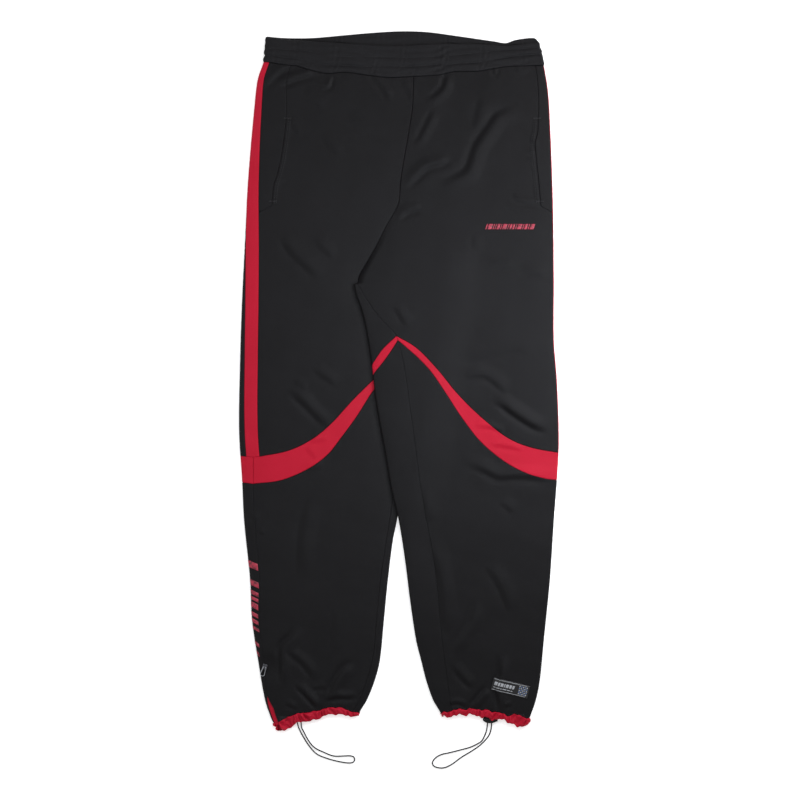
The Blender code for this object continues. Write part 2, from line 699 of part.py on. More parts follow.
def back_panels(leg):
    """Seat and thigh, knee band and lower leg of the back, which wrap round to the inseam."""
    def below_crotch_or_seat(i, j):
        return j < CROTCH_ROW or i < SPLIT_COLUMN

    upper = cloth_wall(
        leg.name + "_back_upper", on_one_leg(leg, back_columns(stripe_back_s)),
        upper_levels(band_level("band_top", False)), UPPER_ROWS, CLOTH, below_crotch_or_seat,
    )
    band = cloth_wall(
        leg.name + "_knee_band_back", on_one_leg(leg, back_columns(side_seam_s)),
        [band_level("band_foot", False), band_level("band_top", False)], BAND_ROWS, CLOTH,
    )
    lower = cloth_wall(
        leg.name + "_back_lower", on_one_leg(leg, back_columns(side_seam_s)),
        lower_levels(False), LOWER_ROWS, CLOTH,
    )
    finish_material(upper, BLACK_KNIT, 0.62)
    finish_material(band, RED_KNIT, 0.62)
    finish_material(lower, BLACK_KNIT, 0.62)


def side_stripe(leg):
    """The red stripe down the side seam, from the waistband to the knee band."""
    stripe = cloth_wall(
        leg.name + "_side_stripe", on_one_leg(leg, stripe_columns),
        upper_levels(stripe_foot()), UPPER_ROWS, CLOTH,
    )
    finish_material(stripe, RED_KNIT, 0.62)


def pocket_side(leg):
    """The panel between the pocket mouth and the stripe, which tapers away at its foot."""
    panel = cloth_wall(
        leg.name + "_pocket_side", on_one_leg(leg, pocket_columns),
        [height_level(POCKET_FOOT_Y - 0.8 * POCKET_FOOT_TURN), height_level(POCKET_FOOT_Y), WAIST_SEAM],
        (1, 5), CLOTH,
    )
    finish_material(panel, BLACK_KNIT, 0.62)


def hem_binding(leg):
    """The gathered red channel round the ankle that the cord runs in."""
    binding = cloth_wall(
        leg.name + "_hem_binding", on_one_leg(leg, hem_columns),
        [hem_level("hem_edge"), hem_level("hem_seam")], (2,), (0.0, HEM_WALL, HEM_PROUD),
    )
    finish_material(binding, RED_KNIT, 0.60)


def waistband(name, front):
    """Half of the elastic waistband, from one side fold to the other."""
    layer = 1.0 if front else -1.0

    def half(leg, y):
        centre = layer * s_at_x(leg, 0.0, y)
        start = layer * SEAM_MARGIN
        return marks_between(start, centre, (layer * fold_length(y),), (2, 8))

    def columns(y):
        across = [(RIGHT, s) for s in half(RIGHT, y)]
        return across + [(LEFT, s) for s in reversed(half(LEFT, y)[:-1])]

    band = cloth_wall(
        name, columns, [WAISTBAND_FOOT, WAIST_TOP], (3,), (0.0, WAISTBAND_WALL, WAISTBAND_PROUD),
    )
    finish_material(band, BLACK_KNIT, 0.65)


def ankle_zip_facing():
    """The red facing that shows in the open foot of the right side seam."""
    facing = cloth_wall(
        "ankle_zip_facing", on_one_leg(RIGHT, zip_columns),
        [hem_level("hem_seam"), hem_level("hem_seam", ZIP_FULL_RISE), hem_level("hem_seam", ZIP_FACING_RISE)],
        (1, 1), (ZIP_FACING_DEPTH, WALL, 0.0),
    )
    finish_material(facing, RED_KNIT, 0.60)


def woven_label():
    """A thin label sewn flat on the left leg, following the panel under it."""
    columns = 6
    rows = 2
    faces = []
    for offset in (LABEL_GAP + LABEL_THICKNESS, LABEL_GAP):
        grid = []
        for i in range(columns + 1):
            line = []
            for j in range(rows + 1):
                across = (i / columns - 0.5) * LABEL_SIZE[0]
                up = (j / rows - 0.5) * LABEL_SIZE[1]
                x = LABEL_CENTRE[0] + across * math.cos(LABEL_TURN) - up * math.sin(LABEL_TURN)
                y = LABEL_CENTRE[1] + across * math.sin(LABEL_TURN) + up * math.cos(LABEL_TURN)
                line.append(Vector((x, y, front_top(LEFT, x, y) + offset)))
            grid.append(line)
        faces.append(grid)
    label = wall_mesh("woven_label", faces[0], faces[1])
    finish_material(label, (0.01, 0.01, 0.012, 1.0), 0.5)


def pivot_height():
    return front_top(RIGHT, *PIVOT_XY) + SLIDER_GAP + SLIDER_SIZE[2] + PIVOT_GAP + PULLER_WIRE


def zip_slider():
    """The slider's body on the seam, with the arch that holds its puller."""
    mesh = bmesh.new()
    bmesh.ops.create_cube(mesh, size=1.0)
    bmesh.ops.scale(mesh, vec=SLIDER_SIZE, verts=mesh.verts)
    bmesh.ops.bevel(
        mesh, geom=mesh.edges[:], offset=SLIDER_BEVEL, segments=2, profile=0.5,
        affect="EDGES", material=-1,
    )
    slider = link_mesh("ankle_zip_slider", mesh)
    body_centre = pivot_height() - PULLER_WIRE - PIVOT_GAP - SLIDER_SIZE[2] / 2
    slider.location = (*PIVOT_XY, body_centre)
    slider.rotation_euler = (0.0, 0.0, ZIP_TURN)
    arch = slider_arch()
    arch.location = (*PIVOT_XY, pivot_height())
    arch.rotation_euler = (0.0, 0.0, ZIP_TURN)
    union = slider.modifiers.new("arch", "BOOLEAN")
    union.operation = "UNION"
    union.object = arch
    finish_material(slider, (0.03, 0.03, 0.035, 1.0), 0.35, 1.0)


def slider_arch():
    """A strip bent into an arch about the pivot line, kept as a helper for the union."""
    inner = PULLER_WIRE + PIVOT_GAP
    outer = inner + BAIL_WALL
    foot = -(inner + BAIL_ROOT)
    steps = 8
    outline = [(outer, foot)]
    outline += [
        (outer * math.cos(math.pi * k / steps), outer * math.sin(math.pi * k / steps))
        for k in range(steps + 1)
    ]
    outline += [(-outer, foot), (-inner, foot)]
    outline += [
        (-inner * math.cos(math.pi * k / steps), inner * math.sin(math.pi * k / steps))
        for k in range(steps + 1)
    ]
    outline.append((inner, foot))
    mesh = bmesh.new()
    ring = [mesh.verts.new((-BAIL_HALF_WIDTH, y, z)) for y, z in outline]
    face = mesh.faces.new(ring)
    swept = bmesh.ops.extrude_face_region(mesh, geom=[face])
    moved = [v for v in swept["geom"] if isinstance(v, bmesh.types.BMVert)]
    bmesh.ops.translate(mesh, vec=(2 * BAIL_HALF_WIDTH, 0.0, 0.0), verts=moved)
    bmesh.ops.recalc_face_normals(mesh, faces=mesh.faces)
    arch = link_mesh("slider_arch", mesh)
    arch.hide_render = True
    arch.display_type = "WIRE"
    return arch


def puller_outline():
    """One side of the wire drop, from the middle of its eye to the middle of its ring."""
    side = [(0.0, 0.0), (0.0013, 0.0), (0.0019, -0.0002), (0.0022, -0.0008), (0.0022, -0.0028)]
    start_angle = math.radians(20)
    steps = 7
    for k in range(steps + 1):
        angle = start_angle + (math.radians(-90) - start_angle) * k / steps
        x = PULLER_RING_RADIUS * math.cos(angle)
        y = PULLER_RING_RADIUS * math.sin(angle) - PULLER_RING_DISTANCE
        side.append((x, y))
    return side


def zip_puller():
    """A bent wire drop on the slider's arch. Its origin is on the hinge's line."""
    side = puller_outline()
    loop = side + [(-x, y) for x, y in reversed(side[1:-1])]
    curve = bpy.data.curves.new("ankle_zip_puller", "CURVE")
    curve.dimensions = "3D"
    curve.bevel_depth = PULLER_WIRE
    curve.bevel_resolution = 2
    spline = curve.splines.new("POLY")
    spline.points.add(len(loop) - 1)
    for point, (x, y) in zip(spline.points, loop):
        point.co = (x, y, 0.0, 1.0)
    spline.use_cyclic_u = True
    puller = bpy.data.objects.new("ankle_zip_puller", curve)
    bpy.context.scene.collection.objects.link(puller)
    puller.location = (*PIVOT_XY, pivot_height())
    puller.rotation_euler = (PULLER_REST_TILT, 0.0, ZIP_TURN)
    finish_material(puller, (0.45, 0.46, 0.48, 1.0), 0.3, 1.0)


def cord_lock():
    """The oval lock that the left hem's cord runs through."""
    mesh = bmesh.new()
    bmesh.ops.create_uvsphere(mesh, u_segments=20, v_segments=10, radius=0.5)
    bmesh.ops.scale(mesh, vec=LOCK_SIZE, verts=mesh.verts)
    lock = link_mesh("cord_lock", mesh)
    lock.location = (*LOCK_CENTRE, LOCK_SIZE[2] / 2)
    lock.rotation_euler = (0.0, 0.0, LOCK_TURN)
    finish_material(lock, (0.012, 0.012, 0.013, 1.0), 0.4)


def smooth_route(route, spacing):
    """Points along a rounded curve through the route's own points."""
    points = [Vector(p) for p in route]
    ends = [2 * points[0] - points[1], *points, 2 * points[-1] - points[-2]]
    line = []
    for a, b, c, d in zip(ends, ends[1:], ends[2:], ends[3:]):
        count = max(1, round((c - b).length / spacing))
        for k in range(count):
            t = k / count
            line.append(
                0.5 * (2 * b + (c - a) * t + (2 * a - 5 * b + 4 * c - d) * t ** 2
                       + (3 * b - a - 3 * c + d) * t ** 3)
            )
    return line + [points[-1]]


def hem_cord(name, route):
    """A thin round cord that leaves the hem, lies in a loop and goes back in."""
    line = smooth_route(route, CORD_POINT_SPACING)
    curve = bpy.data.curves.new(name, "CURVE")
    curve.dimensions = "3D"
    curve.bevel_depth = CORD_RADIUS
    curve.bevel_resolution = 2
    curve.use_fill_caps = True
    spline = curve.splines.new("POLY")
    spline.points.add(len(line) - 1)
    for point, place in zip(spline.points, line):
        point.co = (*place, 1.0)
    cord = bpy.data.objects.new(name, curve)
    bpy.context.scene.collection.objects.link(cord)
    finish_material(cord, (0.012, 0.012, 0.013, 1.0), 0.6)


for old in list(bpy.data.objects):
    bpy.data.objects.remove(old)
waistband("waistband_front", True)
waistband("waistband_back", False)
for side in (RIGHT, LEFT):
    front_panels(side)
    back_panels(side)
    side_stripe(side)
    pocket_side(side)
    hem_binding(side)
ankle_zip_facing()
zip_slider()
zip_puller()
woven_label()
cord_lock()
hem_cord("left_hem_cord", LEFT_CORD_ROUTE)
hem_cord("right_hem_cord", RIGHT_CORD_ROUTE)
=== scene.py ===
"""Jogger trousers laid flat with the front up: knit panels, trims, cords and fittings.

Metres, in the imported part's own frame. The trousers lie on z = 0, +Y runs up to the waist
and +X is the wearer's left. A place on the cloth is given by y and by s, the distance round
the flattened leg from its outer fold: s is positive on the front, negative on the back.
"""
import math
from types import SimpleNamespace

import bmesh
import bpy
import numpy as np
from mathutils import Matrix, Vector


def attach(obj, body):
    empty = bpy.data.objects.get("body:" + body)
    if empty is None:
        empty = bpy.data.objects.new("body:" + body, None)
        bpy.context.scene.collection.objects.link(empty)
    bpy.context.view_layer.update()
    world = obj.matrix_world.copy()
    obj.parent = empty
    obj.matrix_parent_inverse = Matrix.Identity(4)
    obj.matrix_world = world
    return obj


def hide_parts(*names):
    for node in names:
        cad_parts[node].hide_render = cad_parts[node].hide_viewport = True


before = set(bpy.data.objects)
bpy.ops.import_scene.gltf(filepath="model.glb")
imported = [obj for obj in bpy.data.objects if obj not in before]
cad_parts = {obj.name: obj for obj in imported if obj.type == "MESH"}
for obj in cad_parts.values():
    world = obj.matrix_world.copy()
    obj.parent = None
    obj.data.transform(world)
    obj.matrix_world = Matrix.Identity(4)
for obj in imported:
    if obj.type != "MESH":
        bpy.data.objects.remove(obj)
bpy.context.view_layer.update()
scene = bpy.context.scene


# Camera, floor and light.
# The camera looks straight down on the trousers. They lie on a white light table, in an even
# white surround, with a narrow softbox close over the wearer's left edge and two wider ones
# further off.
EYE_HEIGHT = 2.780
VIEW_CENTRE = (0.0015, -0.0268)
TABLE_HALF_WIDTH = 6.0
TABLE_DROP = 0.0004
camera_data = bpy.data.cameras.new("camera")
camera_data.lens = 85.0
camera_data.sensor_width = 36.0
camera = bpy.data.objects.new("camera", camera_data)
camera.location = (*VIEW_CENTRE, EYE_HEIGHT)
scene.collection.objects.link(camera)
scene.camera = camera
scene.view_settings.view_transform = "Standard"


def add_link(tree, source, target):
    tree.links.new(source, target)


def new_material(name, colour, roughness, metallic=0.0):
    """A material, its tree and its shader, with the plain values set."""
    material = bpy.data.materials.new(name)
    material.use_nodes = True
    tree = material.node_tree
    shader = tree.nodes["Principled BSDF"]
    shader.inputs["Base Color"].default_value = (*colour, 1.0)
    shader.inputs["Roughness"].default_value = roughness
    shader.inputs["Metallic"].default_value = metallic
    return SimpleNamespace(material=material, tree=tree, shader=shader)


def put_in_scene(name, mesh, material, smooth=True):
    """Makes a finished object of a bmesh."""
    data = bpy.data.meshes.new(name)
    mesh.to_mesh(data)
    mesh.free()
    if smooth:
        data.shade_smooth()
    data.materials.append(material)
    obj = bpy.data.objects.new(name, data)
    scene.collection.objects.link(obj)
    return obj


world = bpy.data.worlds.new("surround")
world.use_nodes = True
surround = world.node_tree.nodes["Background"]
surround.inputs["Color"].default_value = (1.0, 1.0, 1.0, 1.0)
surround.inputs["Strength"].default_value = 0.45
scene.world = world

for name, place, aim, size, power, colour in (
    ("side_softbox", (0.34, 0.08, 0.50), (0.0, 0.08, 0.0), (0.12, 1.20), 4.6, (0.88, 0.93, 1.0)),
    ("corner_softbox", (1.10, 1.00, 1.05), (0.0, 0.0, 0.0), (1.1, 1.1), 15.0, (1.0, 0.98, 1.0)),
    ("fill_softbox", (-1.7, 0.3, 1.5), (0.0, 0.0, 0.0), (1.6, 1.6), 9.0, (1.0, 1.0, 1.0)),
):
    light = bpy.data.lights.new(name, "AREA")
    light.shape = "RECTANGLE"
    light.size, light.size_y = size
    light.energy = power
    light.color = colour
    lamp = bpy.data.objects.new(name, light)
    lamp.location = place
    lamp.rotation_euler = (Vector(aim) - Vector(place)).to_track_quat("-Z", "Y").to_euler()
    scene.collection.objects.link(lamp)

table_mesh = bmesh.new()
bmesh.ops.create_grid(table_mesh, x_segments=1, y_segments=1, size=TABLE_HALF_WIDTH)
bmesh.ops.translate(table_mesh, vec=(0.0, 0.0, -TABLE_DROP), verts=table_mesh.verts)
table_white = new_material("table_white", (0.90, 0.90, 0.90), 0.9)
table_white.shader.inputs["Emission Color"].default_value = (1.0, 1.0, 1.0, 1.0)
table_white.shader.inputs["Emission Strength"].default_value = 0.50
table_top = put_in_scene("table_top", table_mesh, table_white.material, smooth=False)


# The hem cords.
# Thin braided polyester cords that draw the ankles in. Each leaves the hem's channel, lies
# in one loop on the table and goes back in. The left one also runs through the cord lock.
CORD_DIAMETER = 0.0020
CORD_STEP = 0.0005
CORD_SIDES = 16
BRAID_PITCH = 0.0034
BRAID_SWELL = 0.06
LEFT_CORD_ROUTE = (
    (0.1308, -0.4975, 0.0034), (0.1298, -0.5050, 0.0028), (0.1284, -0.5146, 0.0013),
    (0.1226, -0.5272, 0.0010), (0.1158, -0.5324, 0.0010), (0.1044, -0.5378, 0.0010),
    (0.0917, -0.5413, 0.0010), (0.0748, -0.5456, 0.0010), (0.0622, -0.5485, 0.0010),
    (0.0537, -0.5534, 0.0010), (0.0492, -0.5604, 0.0010), (0.0520, -0.5658, 0.0010),
    (0.0607, -0.5682, 0.0010), (0.0690, -0.5671, 0.0010), (0.0789, -0.5620, 0.0010),
    (0.0917, -0.5525, 0.0010), (0.1062, -0.5437, 0.0010), (0.1197, -0.5343, 0.0010),
    (0.1301, -0.5235, 0.0010), (0.1345, -0.5150, 0.0010), (0.1360, -0.5050, 0.0028),
    (0.1362, -0.4975, 0.0034),
)
RIGHT_CORD_ROUTE = (
    (-0.1500, -0.4955, 0.0034), (-0.1492, -0.5020, 0.0028), (-0.1470, -0.5100, 0.0013),
    (-0.1419, -0.5203, 0.0010), (-0.1323, -0.5355, 0.0010), (-0.1208, -0.5477, 0.0010),
    (-0.1044, -0.5546, 0.0010), (-0.0900, -0.5584, 0.0010), (-0.0790, -0.5604, 0.0010),
    (-0.0742, -0.5608, 0.0010), (-0.0702, -0.5606, 0.0010), (-0.0667, -0.5591, 0.0010),
    (-0.0652, -0.5556, 0.0010), (-0.0667, -0.5521, 0.0010), (-0.0702, -0.5506, 0.0010),
    (-0.0742, -0.5503, 0.0010), (-0.0800, -0.5505, 0.0010), (-0.0956, -0.5506, 0.0010),
    (-0.1095, -0.5456, 0.0010), (-0.1245, -0.5380, 0.0010), (-0.1335, -0.5272, 0.0010),
    (-0.1400, -0.5150, 0.0012), (-0.1432, -0.5085, 0.0018), (-0.1440, -0.5010, 0.0028),
    (-0.1444, -0.4945, 0.0034),
)


def smooth_route(route, spacing):
    """Points along a rounded curve through the route's own points, as rows of an array."""
    points = np.array(route, float)
    ends = np.vstack([2 * points[:1] - points[1:2], points, 2 * points[-1:] - points[-2:-1]])
    line = []
    for a, b, c, d in zip(ends, ends[1:], ends[2:], ends[3:]):
        count = max(1, round(float(np.linalg.norm(c - b)) / spacing))
        t = (np.arange(count) / count)[:, None]
        line.append(0.5 * (2 * b + (c - a) * t + (2 * a - 5 * b + 4 * c - d) * t ** 2
                           + (3 * b - a - 3 * c + d) * t ** 3))
    return np.vstack([*line, points[-1:]])


def grid_sheet(columns, rows):
    """A flat grid whose vertices carry their column and row, and those two layers."""
    mesh = bmesh.new()
    bmesh.ops.create_grid(mesh, x_segments=columns, y_segments=rows, size=0.5)
    column = mesh.verts.layers.int.new("column")
    row = mesh.verts.layers.int.new("row")
    for vert in mesh.verts:
        vert[column] = round((vert.co.x + 0.5) * columns)
        vert[row] = round((vert.co.y + 0.5) * rows)
    return mesh, column, row


def braided_cord(name, route, material):
    """A round cord swept along its route, with the braid's strands in its surface."""
    line = smooth_route(route, CORD_STEP)
    ahead = np.gradient(line, axis=0)
    ahead /= np.linalg.norm(ahead, axis=1)[:, None]
    across = np.cross(ahead, (0.0, 0.0, 1.0))
    across /= np.linalg.norm(across, axis=1)[:, None]
    upward = np.cross(across, ahead)
    run = np.concatenate([[0.0], np.cumsum(np.linalg.norm(np.diff(line, axis=0), axis=1))])
    mesh, column, row = grid_sheet(CORD_SIDES, len(line) - 1)
    uv = mesh.loops.layers.uv.new("cord")
    for face in mesh.faces:
        for loop in face.loops:
            loop[uv].uv = (loop.vert[column] / CORD_SIDES, run[loop.vert[row]] / BRAID_PITCH)
    for vert in mesh.verts:
        k = vert[row]
        turn = 2 * math.pi * vert[column] / CORD_SIDES
        along = 2 * math.pi * run[k] / BRAID_PITCH
        braid = math.sin(2 * turn + along) * math.sin(2 * turn - along)
        radius = CORD_DIAMETER / 2 * (1 - BRAID_SWELL + BRAID_SWELL * braid)
        side = math.cos(turn) * across[k] + math.sin(turn) * upward[k]
        vert.co = line[k] + radius * side
    bmesh.ops.remove_doubles(mesh, verts=mesh.verts, dist=0.00002)
    bmesh.ops.holes_fill(mesh, edges=[e for e in mesh.edges if e.is_boundary], sides=0)
    bmesh.ops.recalc_face_normals(mesh, faces=mesh.faces)
    cord = put_in_scene(name, mesh, material)
    return cord, line, float(run[-1])


# Cord material: black polyester, with the crossing strands read from the cord's own map.
cord_black = new_material("cord_black", (0.0035, 0.0035, 0.0040), 0.60)
cord_black.shader.inputs["Specular IOR Level"].default_value = 0.12
cord_map = cord_black.tree.nodes.new("ShaderNodeUVMap")
cord_map.uv_map = "cord"
cord_wave = cord_black.tree.nodes.new("ShaderNodeTexWave")
cord_wave.wave_type = "BANDS"
cord_wave.bands_direction = "DIAGONAL"
cord_wave.inputs["Scale"].default_value = 2.4
cord_wave.inputs["Distortion"].default_value = 0.6
cord_bump = cord_black.tree.nodes.new("ShaderNodeBump")
cord_bump.inputs["Strength"].default_value = 0.5
cord_bump.inputs["Distance"].default_value = 0.0002
add_link(cord_black.tree, cord_map.outputs["UV"], cord_wave.inputs["Vector"])
add_link(cord_black.tree, cord_wave.outputs["Fac"], cord_bump.inputs["Height"])
add_link(cord_black.tree, cord_bump.outputs["Normal"], cord_black.shader.inputs["Normal"])

left_cord, left_line, left_length = braided_cord(
    "left_cord", LEFT_CORD_ROUTE, cord_black.material)
right_cord, right_line, right_length = braided_cord(
    "right_cord", RIGHT_CORD_ROUTE, cord_black.material)
for cord, node in ((left_cord, "left_hem_cord"), (right_cord, "right_hem_cord")):
    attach(cord, "garment")
    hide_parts(node)


# The cloth's shape.
# Each leg is two layers of knit lying on each other, folded at the outer and the inner edge,
# and the left leg lies a little over the right thigh. Every panel is cut on these outlines.
CLOTH = 0.0008
LEG_THICKNESS = 0.0044
WAIST_EXTRA_THICKNESS = 0.0010
HEM_EXTRA_THICKNESS = 0.0012
LAYER_GAP = 0.0010
RAMP_START = 0.014
RAMP_WIDTH = 0.060
FRONT_RAMP_HEIGHT = 0.110
BACK_RAMP_HEIGHT = 0.040
RISE_TUCK = 0.007
LEAST_WRAP = 0.012
CROTCH_Y = 0.1437
STRIPE_WIDTH = 0.0195
POCKET_FOOT_Y = 0.258
POCKET_FOOT_TURN = 0.010
ZIP_TOP_RISE = 0.043
ZIP_FULL_RISE = 0.021
ZIP_FACING_RISE = 0.038
ZIP_OPEN_WIDTH = 0.0075


def smoothstep(value):
    t = np.clip(value, 0.0, 1.0)
    return t * t * (3.0 - 2.0 * t)


def smooth_curve(points):
    """A function through a few (input, output) points, with no corner at any of them."""
    ins, outs = np.array(points, float).T
    slopes = np.empty_like(outs)
    slopes[1:-1] = (outs[2:] - outs[:-2]) / (ins[2:] - ins[:-2])
    slopes[0] = (outs[1] - outs[0]) / (ins[1] - ins[0])
    slopes[-1] = (outs[-1] - outs[-2]) / (ins[-1] - ins[-2])

    def value(at):
        at = np.clip(at, ins[0], ins[-1])
        i = np.clip(np.searchsorted(ins, at, side="right") - 1, 0, len(ins) - 2)
        step = ins[i + 1] - ins[i]
        t = (at - ins[i]) / step
        start = (1 + 2 * t) * (1 - t) ** 2 * outs[i] + t * (1 - t) ** 2 * step * slopes[i]
        end = t * t * (3 - 2 * t) * outs[i + 1] - t * t * (1 - t) * step * slopes[i + 1]
        return start + end
    return value


right_leg = SimpleNamespace(
    name="right", sign=-1.0,
    outer=smooth_curve((
        (-0.5150, -0.1765), (-0.4972, -0.1867), (-0.4678, -0.1970), (-0.4090, -0.2073),
        (-0.3502, -0.2161), (-0.2914, -0.2190), (-0.2032, -0.2279), (-0.1444, -0.2308),
        (-0.0709, -0.2352), (0.0320, -0.2337), (0.1202, -0.2308), (0.2084, -0.2264),
        (0.2966, -0.2220), (0.4142, -0.2117), (0.4465, -0.2073), (0.4729, -0.1985),
        (0.5082, -0.1955),
    )),
    inner_below_crotch=smooth_curve((
        (-0.5150, -0.0640), (-0.4855, -0.0573), (-0.4678, -0.0470), (-0.4384, -0.0353),
        (-0.4090, -0.0279), (-0.3502, -0.0220), (-0.2914, -0.0162), (-0.2326, -0.0088),
        (-0.2032, -0.0029), (-0.1200, 0.0108), (0.1437, 0.0559),
    )),
    inseam=smooth_curve((
        (-0.5150, -0.0720), (-0.4855, -0.0680), (-0.4678, -0.0580), (-0.4090, -0.0390),
        (-0.3502, -0.0330), (-0.2914, -0.0272), (-0.2032, -0.0139), (-0.1200, -0.0010),
        (-0.0268, 0.0152), (0.0600, 0.0300), (0.0950, 0.0150), (0.1200, -0.0200),
        (0.1437, -0.0610),
    )),
    side_seam=smooth_curve((
        (-0.5150, 0.0010), (-0.4900, 0.0030), (-0.4190, 0.0090), (-0.3500, 0.0120),
        (-0.2770, 0.0160), (-0.1500, 0.0176), (-0.1100, 0.0200), (0.1200, 0.0200),
    )),
    stripe=smooth_curve((
        (-0.1200, 0.0200), (-0.0268, 0.0187), (0.1200, 0.0160), (0.2671, 0.0090),
        (0.3800, 0.0035), (0.4800, 0.0000),
    )),
    pocket_mouth=smooth_curve((
        (0.2450, 0.0370), (0.2650, 0.0390), (0.2878, 0.0400), (0.3040, 0.0440),
        (0.3300, 0.0480), (0.3877, 0.0500), (0.4500, 0.0440),
    )),
    band_top=smooth_curve((
        (0.0, 0.0620), (0.10, 0.0440), (0.245, 0.0040), (0.374, -0.0312), (0.478, -0.0606),
        (0.589, -0.0827), (0.744, -0.1003), (0.932, -0.1091), (1.0, -0.1110),
    )),
    band_foot=smooth_curve((
        (0.0, 0.0560), (0.148, 0.0130), (0.233, -0.0107), (0.321, -0.0503), (0.411, -0.0827),
        (0.488, -0.1062), (0.617, -0.1275), (0.802, -0.1444), (1.0, -0.1500),
    )),
    back_band_drop=0.005,
    hem_seam=smooth_curve((
        (-0.1790, -0.5010), (-0.1545, -0.4890), (-0.1235, -0.4840), (-0.1040, -0.4790),
        (-0.0867, -0.4785), (-0.0706, -0.4840), (-0.0590, -0.4870),
    )),
    hem_edge=smooth_curve((
        (-0.1790, -0.5130), (-0.1661, -0.5120), (-0.1500, -0.5015), (-0.1220, -0.4965),
        (-0.1073, -0.4900), (-0.0911, -0.4885), (-0.0690, -0.4915), (-0.0590, -0.4920),
    )),
)
left_leg = SimpleNamespace(
    name="left", sign=1.0,
    outer=smooth_curve((
        (-0.5100, 0.1865), (-0.4972, 0.1911), (-0.4678, 0.2014), (-0.4384, 0.2073),
        (-0.3796, 0.2132), (-0.2914, 0.2220), (-0.2032, 0.2279), (-0.1444, 0.2323),
        (-0.0856, 0.2352), (0.0026, 0.2323), (0.0614, 0.2279), (0.1496, 0.2279),
        (0.2671, 0.2264), (0.3847, 0.2220), (0.4288, 0.2190), (0.4641, 0.2132),
        (0.4994, 0.2058),
    )),
    inner_below_crotch=smooth_curve((
        (-0.5100, 0.0680), (-0.4884, 0.0617), (-0.4678, 0.0500), (-0.4384, 0.0397),
        (-0.4090, 0.0323), (-0.3796, 0.0250), (-0.3208, 0.0162), (-0.2620, 0.0088),
        (-0.2032, -0.0005), (-0.1613, -0.0103), (-0.1062, -0.0198), (-0.0533, -0.0294),
        (-0.0165, -0.0353), (0.0246, -0.0397), (0.0834, -0.0492), (0.1084, -0.0559),
        (0.1290, -0.0632), (0.1437, -0.0660),
    )),
    inseam=smooth_curve((
        (-0.5100, 0.0810), (-0.4600, 0.0740), (-0.3649, 0.0617), (-0.2973, 0.0559),
        (-0.2473, 0.0485), (-0.1577, 0.0323), (-0.0474, 0.0176), (0.0643, -0.0029),
        (0.1000, -0.0330), (0.1437, -0.0610),
    )),
    side_seam=smooth_curve(((-0.5150, -0.0080), (0.5200, -0.0080))),
    stripe=smooth_curve(((-0.1200, -0.0080), (0.4800, -0.0080))),
    pocket_mouth=smooth_curve((
        (0.2450, 0.0190), (0.2811, 0.0210), (0.3318, 0.0245), (0.3495, 0.0250),
        (0.3707, 0.0200), (0.4500, 0.0150),
    )),
    band_top=smooth_curve((
        (0.0, 0.0670), (0.10, 0.0496), (0.204, 0.0187), (0.316, -0.0180), (0.459, -0.0533),
        (0.608, -0.0812), (0.758, -0.0959), (0.962, -0.1047), (1.0, -0.1060),
    )),
    band_foot=smooth_curve((
        (0.0, 0.0610), (0.148, 0.0202), (0.236, -0.0143), (0.329, -0.0533), (0.431, -0.0865),
        (0.574, -0.1144), (0.724, -0.1327), (0.875, -0.1424), (1.0, -0.1450),
    )),
    back_band_drop=0.0,
    hem_seam=smooth_curve((
        (0.0610, -0.4875), (0.0850, -0.4815), (0.1150, -0.4810), (0.1430, -0.4850),
        (0.1600, -0.4900), (0.1740, -0.4890), (0.1920, -0.4960),
    )),
    hem_edge=smooth_curve((
        (0.0610, -0.4935), (0.0990, -0.4890), (0.1220, -0.4920), (0.1480, -0.4960),
        (0.1620, -0.5000), (0.1730, -0.5070), (0.1900, -0.5030),
    )),
)
right_leg.other = left_leg
left_leg.other = right_leg
back_band = SimpleNamespace(
    band_top=smooth_curve((
        (0.0, 0.0670), (0.087, 0.0467), (0.152, 0.0246), (0.25, -0.0010), (0.38, -0.0370),
        (0.54, -0.0670), (0.70, -0.0890), (0.85, -0.1010), (1.0, -0.1060),
    )),
    band_foot=smooth_curve((
        (0.0, 0.0610), (0.097, 0.0283), (0.144, 0.0136), (0.236, -0.0180), (0.33, -0.0560),
        (0.43, -0.0880), (0.575, -0.1170), (0.725, -0.1350), (1.0, -0.1450),
    )),
)
front_rise = smooth_curve((
    (0.1437, -0.0610), (0.1570, -0.0575), (0.1790, -0.0450), (0.2040, -0.0310),
    (0.2290, -0.0185), (0.2500, -0.0060), (0.2645, 0.0000), (0.2900, 0.0020),
    (0.3190, 0.0060), (0.3670, 0.0145), (0.4140, 0.0205), (0.5200, 0.0215),
))
back_rise = smooth_curve(
    ((0.1437, 0.0537), (0.2000, 0.0350), (0.2600, 0.0080), (0.3300, 0.0), (0.5200, 0.0)))
front_waist_seam = smooth_curve((
    (-0.2100, 0.4710), (-0.1890, 0.4690), (-0.1676, 0.4655), (-0.1500, 0.4640),
    (-0.1357, 0.4593), (-0.1054, 0.4530), (-0.0795, 0.4547), (-0.0447, 0.4502),
    (-0.0143, 0.4470), (0.0120, 0.4480), (0.0592, 0.4509), (0.0820, 0.4556),
    (0.1138, 0.4560), (0.1382, 0.4597), (0.1610, 0.4631), (0.2150, 0.4650),
))
front_waist_top = smooth_curve((
    (-0.2000, 0.5060), (-0.1600, 0.5020), (-0.1000, 0.4980), (-0.0400, 0.4940),
    (0.0000, 0.4930), (0.0600, 0.4960), (0.1200, 0.4955), (0.1573, 0.4930),
    (0.2058, 0.4980),
))
back_waist_seam = smooth_curve((
    (-0.2100, 0.4710), (-0.1500, 0.4670), (0.0000, 0.4645), (0.2150, 0.4650),
))
